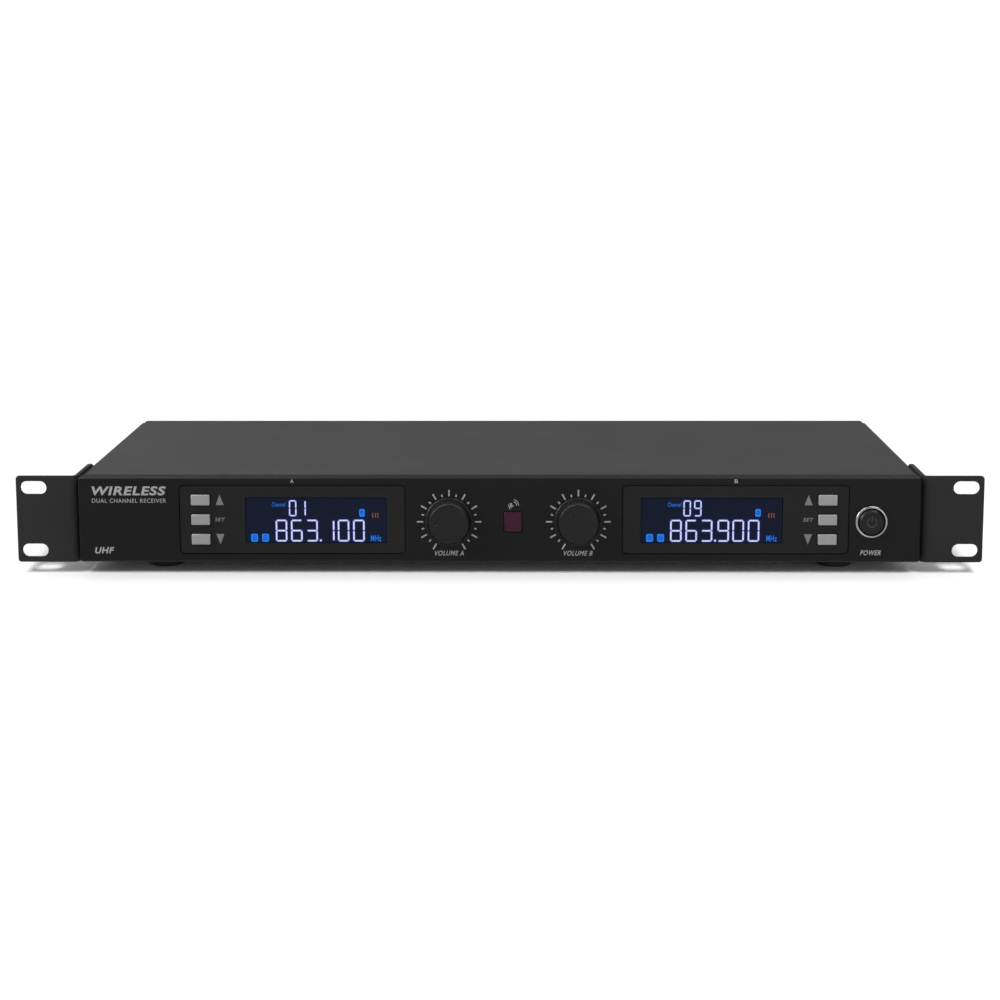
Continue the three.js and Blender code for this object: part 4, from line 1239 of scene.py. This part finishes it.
class FinishInside(bpy.types.Operator):
    """Finish the boards, cans and leads inside."""

    bl_idname = "receiver.inside"
    bl_label = "Inside"

    def execute(self, context):
        board = circuit_board("solder_masked_board", srgb("#1f5a35"))
        finish_nodes(board, "display_board_a", "display_board_b", "control_board", "main_board")
        tin = plated_metal("tin_plated_steel", srgb("#c3c6c8"), 0.35, 0.9)
        finish_nodes(tin, "tuner_a", "tuner_b", "volume_pot_a", "volume_pot_b")
        pvc = moulded_plastic("black_pvc_lead", srgb("#1a1a1a"))
        finish_nodes(pvc, "antenna_lead_a", "antenna_lead_b")
        finish_nodes(ribbed_jacket("grey_pvc_ribbon", srgb("#8b8d90"), 1.27), "ribbon_cable")
        return {"FINISHED"}


class BuildStage(bpy.types.Operator):
    """Lay the paper, and set the lights and the camera."""

    bl_idname = "receiver.stage"
    bl_label = "Stage"

    def execute(self, context):
        stage = context.scene.receiver_stage
        self.lay_paper(stage)
        self.set_camera()
        for side in (-1, 1):
            lamp = self.set_light(f"light_overhead_{side + 2}", (side * 620, -60, 1300), (0, 0, 0),
                                  (900, 800), stage.overhead)
            self.flag(lamp, "EXCLUDE")
        left = self.set_light("light_left", (-1400, -420, 800), (0, -100, 30), (500, 500), stage.left)
        self.flag(left, "EXCLUDE")
        self.set_light("light_front", (1200, -2200, 600), (0, 0, 30), (1800, 600), stage.front)
        self.set_paper_light("light_paper_low", stage.paper_light, 24.5, 8)
        self.set_paper_light("light_paper_soft", stage.paper_soft, 75, 120)
        self.set_room(stage)
        context.scene.view_settings.view_transform = "Standard"
        return {"FINISHED"}

    def set_room(self, stage):
        """A white horizon under a dimmer ceiling."""
        world = bpy.data.worlds.new("room")
        world.use_nodes = True
        tree = world.node_tree
        tree.nodes.clear()
        direction = add_node(tree, "ShaderNodeTexCoord").outputs["Generated"]
        height = add_node(tree, "ShaderNodeSeparateXYZ", inputs={"Vector": direction}).outputs["Z"]
        brightness = add_node(tree, "ShaderNodeMapRange", {"interpolation_type": "SMOOTHSTEP"}, {
            "Value": height, "From Min": 0.07, "From Max": 0.15, "To Min": 1.1, "To Max": stage.ceiling,
        }).outputs[0]
        background = add_node(tree, "ShaderNodeBackground", inputs={
            "Color": (1, 1, 1, 1), "Strength": brightness,
        })
        add_node(tree, "ShaderNodeOutputWorld", inputs={"Surface": background.outputs[0]})
        bpy.context.scene.world = world

    def set_paper_light(self, name, strength, height, width):
        """A light in front, `height` degrees up and `width` degrees across, that reaches only the paper."""
        light = bpy.data.lights.new(name, "SUN")
        light.energy = strength
        light.angle = math.radians(width)
        lamp = bpy.data.objects.new(name, light)
        source = Vector((0, -1, math.tan(math.radians(height))))
        lamp.rotation_euler = source.to_track_quat("Z", "Y").to_euler()
        bpy.context.scene.collection.objects.link(lamp)
        self.flag(lamp, "INCLUDE")

    def flag(self, lamp, state):
        """Flags that keep a light on the paper alone, or off the paper."""
        reach = bpy.data.collections.new(f"{lamp.name}_reach")
        reach.objects.link(bpy.data.objects["paper_floor"])
        reach.collection_objects[0].light_linking.link_state = state
        lamp.light_linking.receiver_collection = reach

    def lay_paper(self, stage):
        half = stage.floor_size / 2
        shape = bmesh.new()
        corners = ((-1, -1), (1, -1), (1, 1), (-1, 1))
        shape.faces.new([shape.verts.new((x * half, y * half, 0)) for x, y in corners])
        mesh = bpy.data.meshes.new("paper_floor")
        shape.to_mesh(mesh)
        shape.free()
        mesh.materials.append(paper("seamless_paper", stage.floor))
        floor = bpy.data.objects.new("paper_floor", mesh)
        bpy.context.scene.collection.objects.link(floor)

    def set_camera(self):
        """A long lens in front of the ears' faces, a little to the right and looking down on the cover."""
        camera = bpy.data.cameras.new("camera")
        camera.lens = 84.1
        camera.sensor_width = 36
        camera.clip_start = 0.05
        camera.clip_end = 60
        holder = bpy.data.objects.new("camera", camera)
        place = Vector((13.6, EARS_FACE - 1147.03, 241.96)) * MM
        yaw, pitch, roll = (math.radians(angle) for angle in (-0.656, -9.941, -0.094))
        aim = Vector((math.sin(yaw) * math.cos(pitch), math.cos(yaw) * math.cos(pitch), math.sin(pitch)))
        side = Vector((math.cos(yaw), -math.sin(yaw), 0))
        up = side.cross(aim)
        right = side * math.cos(roll) + up * math.sin(roll)
        top = up * math.cos(roll) - side * math.sin(roll)
        turn = Matrix((right, top, -aim)).transposed().to_4x4()
        holder.matrix_world = Matrix.Translation(place) @ turn
        bpy.context.scene.collection.objects.link(holder)
        bpy.context.scene.camera = holder

    def set_light(self, name, place, target, size, power):
        light = bpy.data.lights.new(name, "AREA")
        light.shape = "RECTANGLE"
        light.size, light.size_y = size[0] * MM, size[1] * MM
        light.energy = power
        lamp = bpy.data.objects.new(name, light)
        lamp.location = Vector(place) * MM
        lamp.rotation_euler = (Vector(target) - Vector(place)).to_track_quat("-Z", "Y").to_euler()
        bpy.context.scene.collection.objects.link(lamp)
        return lamp


OPERATORS = (
    BuildStage, BuildCase, BuildEars, BuildPanel, BuildDisplays, BuildKeys, BuildKnobs, PrintPanel, BuildEye,
    BuildPower, BuildScrews, BuildFeet, BuildRearSockets, PrintRear, FinishInside,
)
GROUPS = {
    "receiver_finishes": ReceiverFinishes, "receiver_scales": ReceiverScales,
    "receiver_knobs": ReceiverKnobs, "receiver_stage": ReceiverStage,
}


class ReceiverPanel(bpy.types.Panel):
    """Lists the settings and the steps that build the unit."""

    bl_idname = "VIEW3D_PT_receiver"
    bl_label = "Receiver"
    bl_space_type = "VIEW_3D"
    bl_region_type = "UI"
    bl_category = "Receiver"

    def draw(self, context):
        for attribute, group in GROUPS.items():
            for name in group.__annotations__:
                self.layout.prop(getattr(context.scene, attribute), name)
        for operator in OPERATORS:
            self.layout.operator(operator.bl_idname)


def register():
    for group in (*GROUPS.values(), *OPERATORS, ReceiverPanel):
        bpy.utils.register_class(group)
    for attribute, group in GROUPS.items():
        setattr(bpy.types.Scene, attribute, bpy.props.PointerProperty(type=group))


def unregister():
    for attribute in GROUPS:
        delattr(bpy.types.Scene, attribute)
    for group in (ReceiverPanel, *OPERATORS, *GROUPS.values()):
        bpy.utils.unregister_class(group)


def main():
    register()
    for operator in OPERATORS:
        family, name = operator.bl_idname.split(".")
        getattr(getattr(bpy.ops, family), name)()


if __name__ == "__main__":
    main()
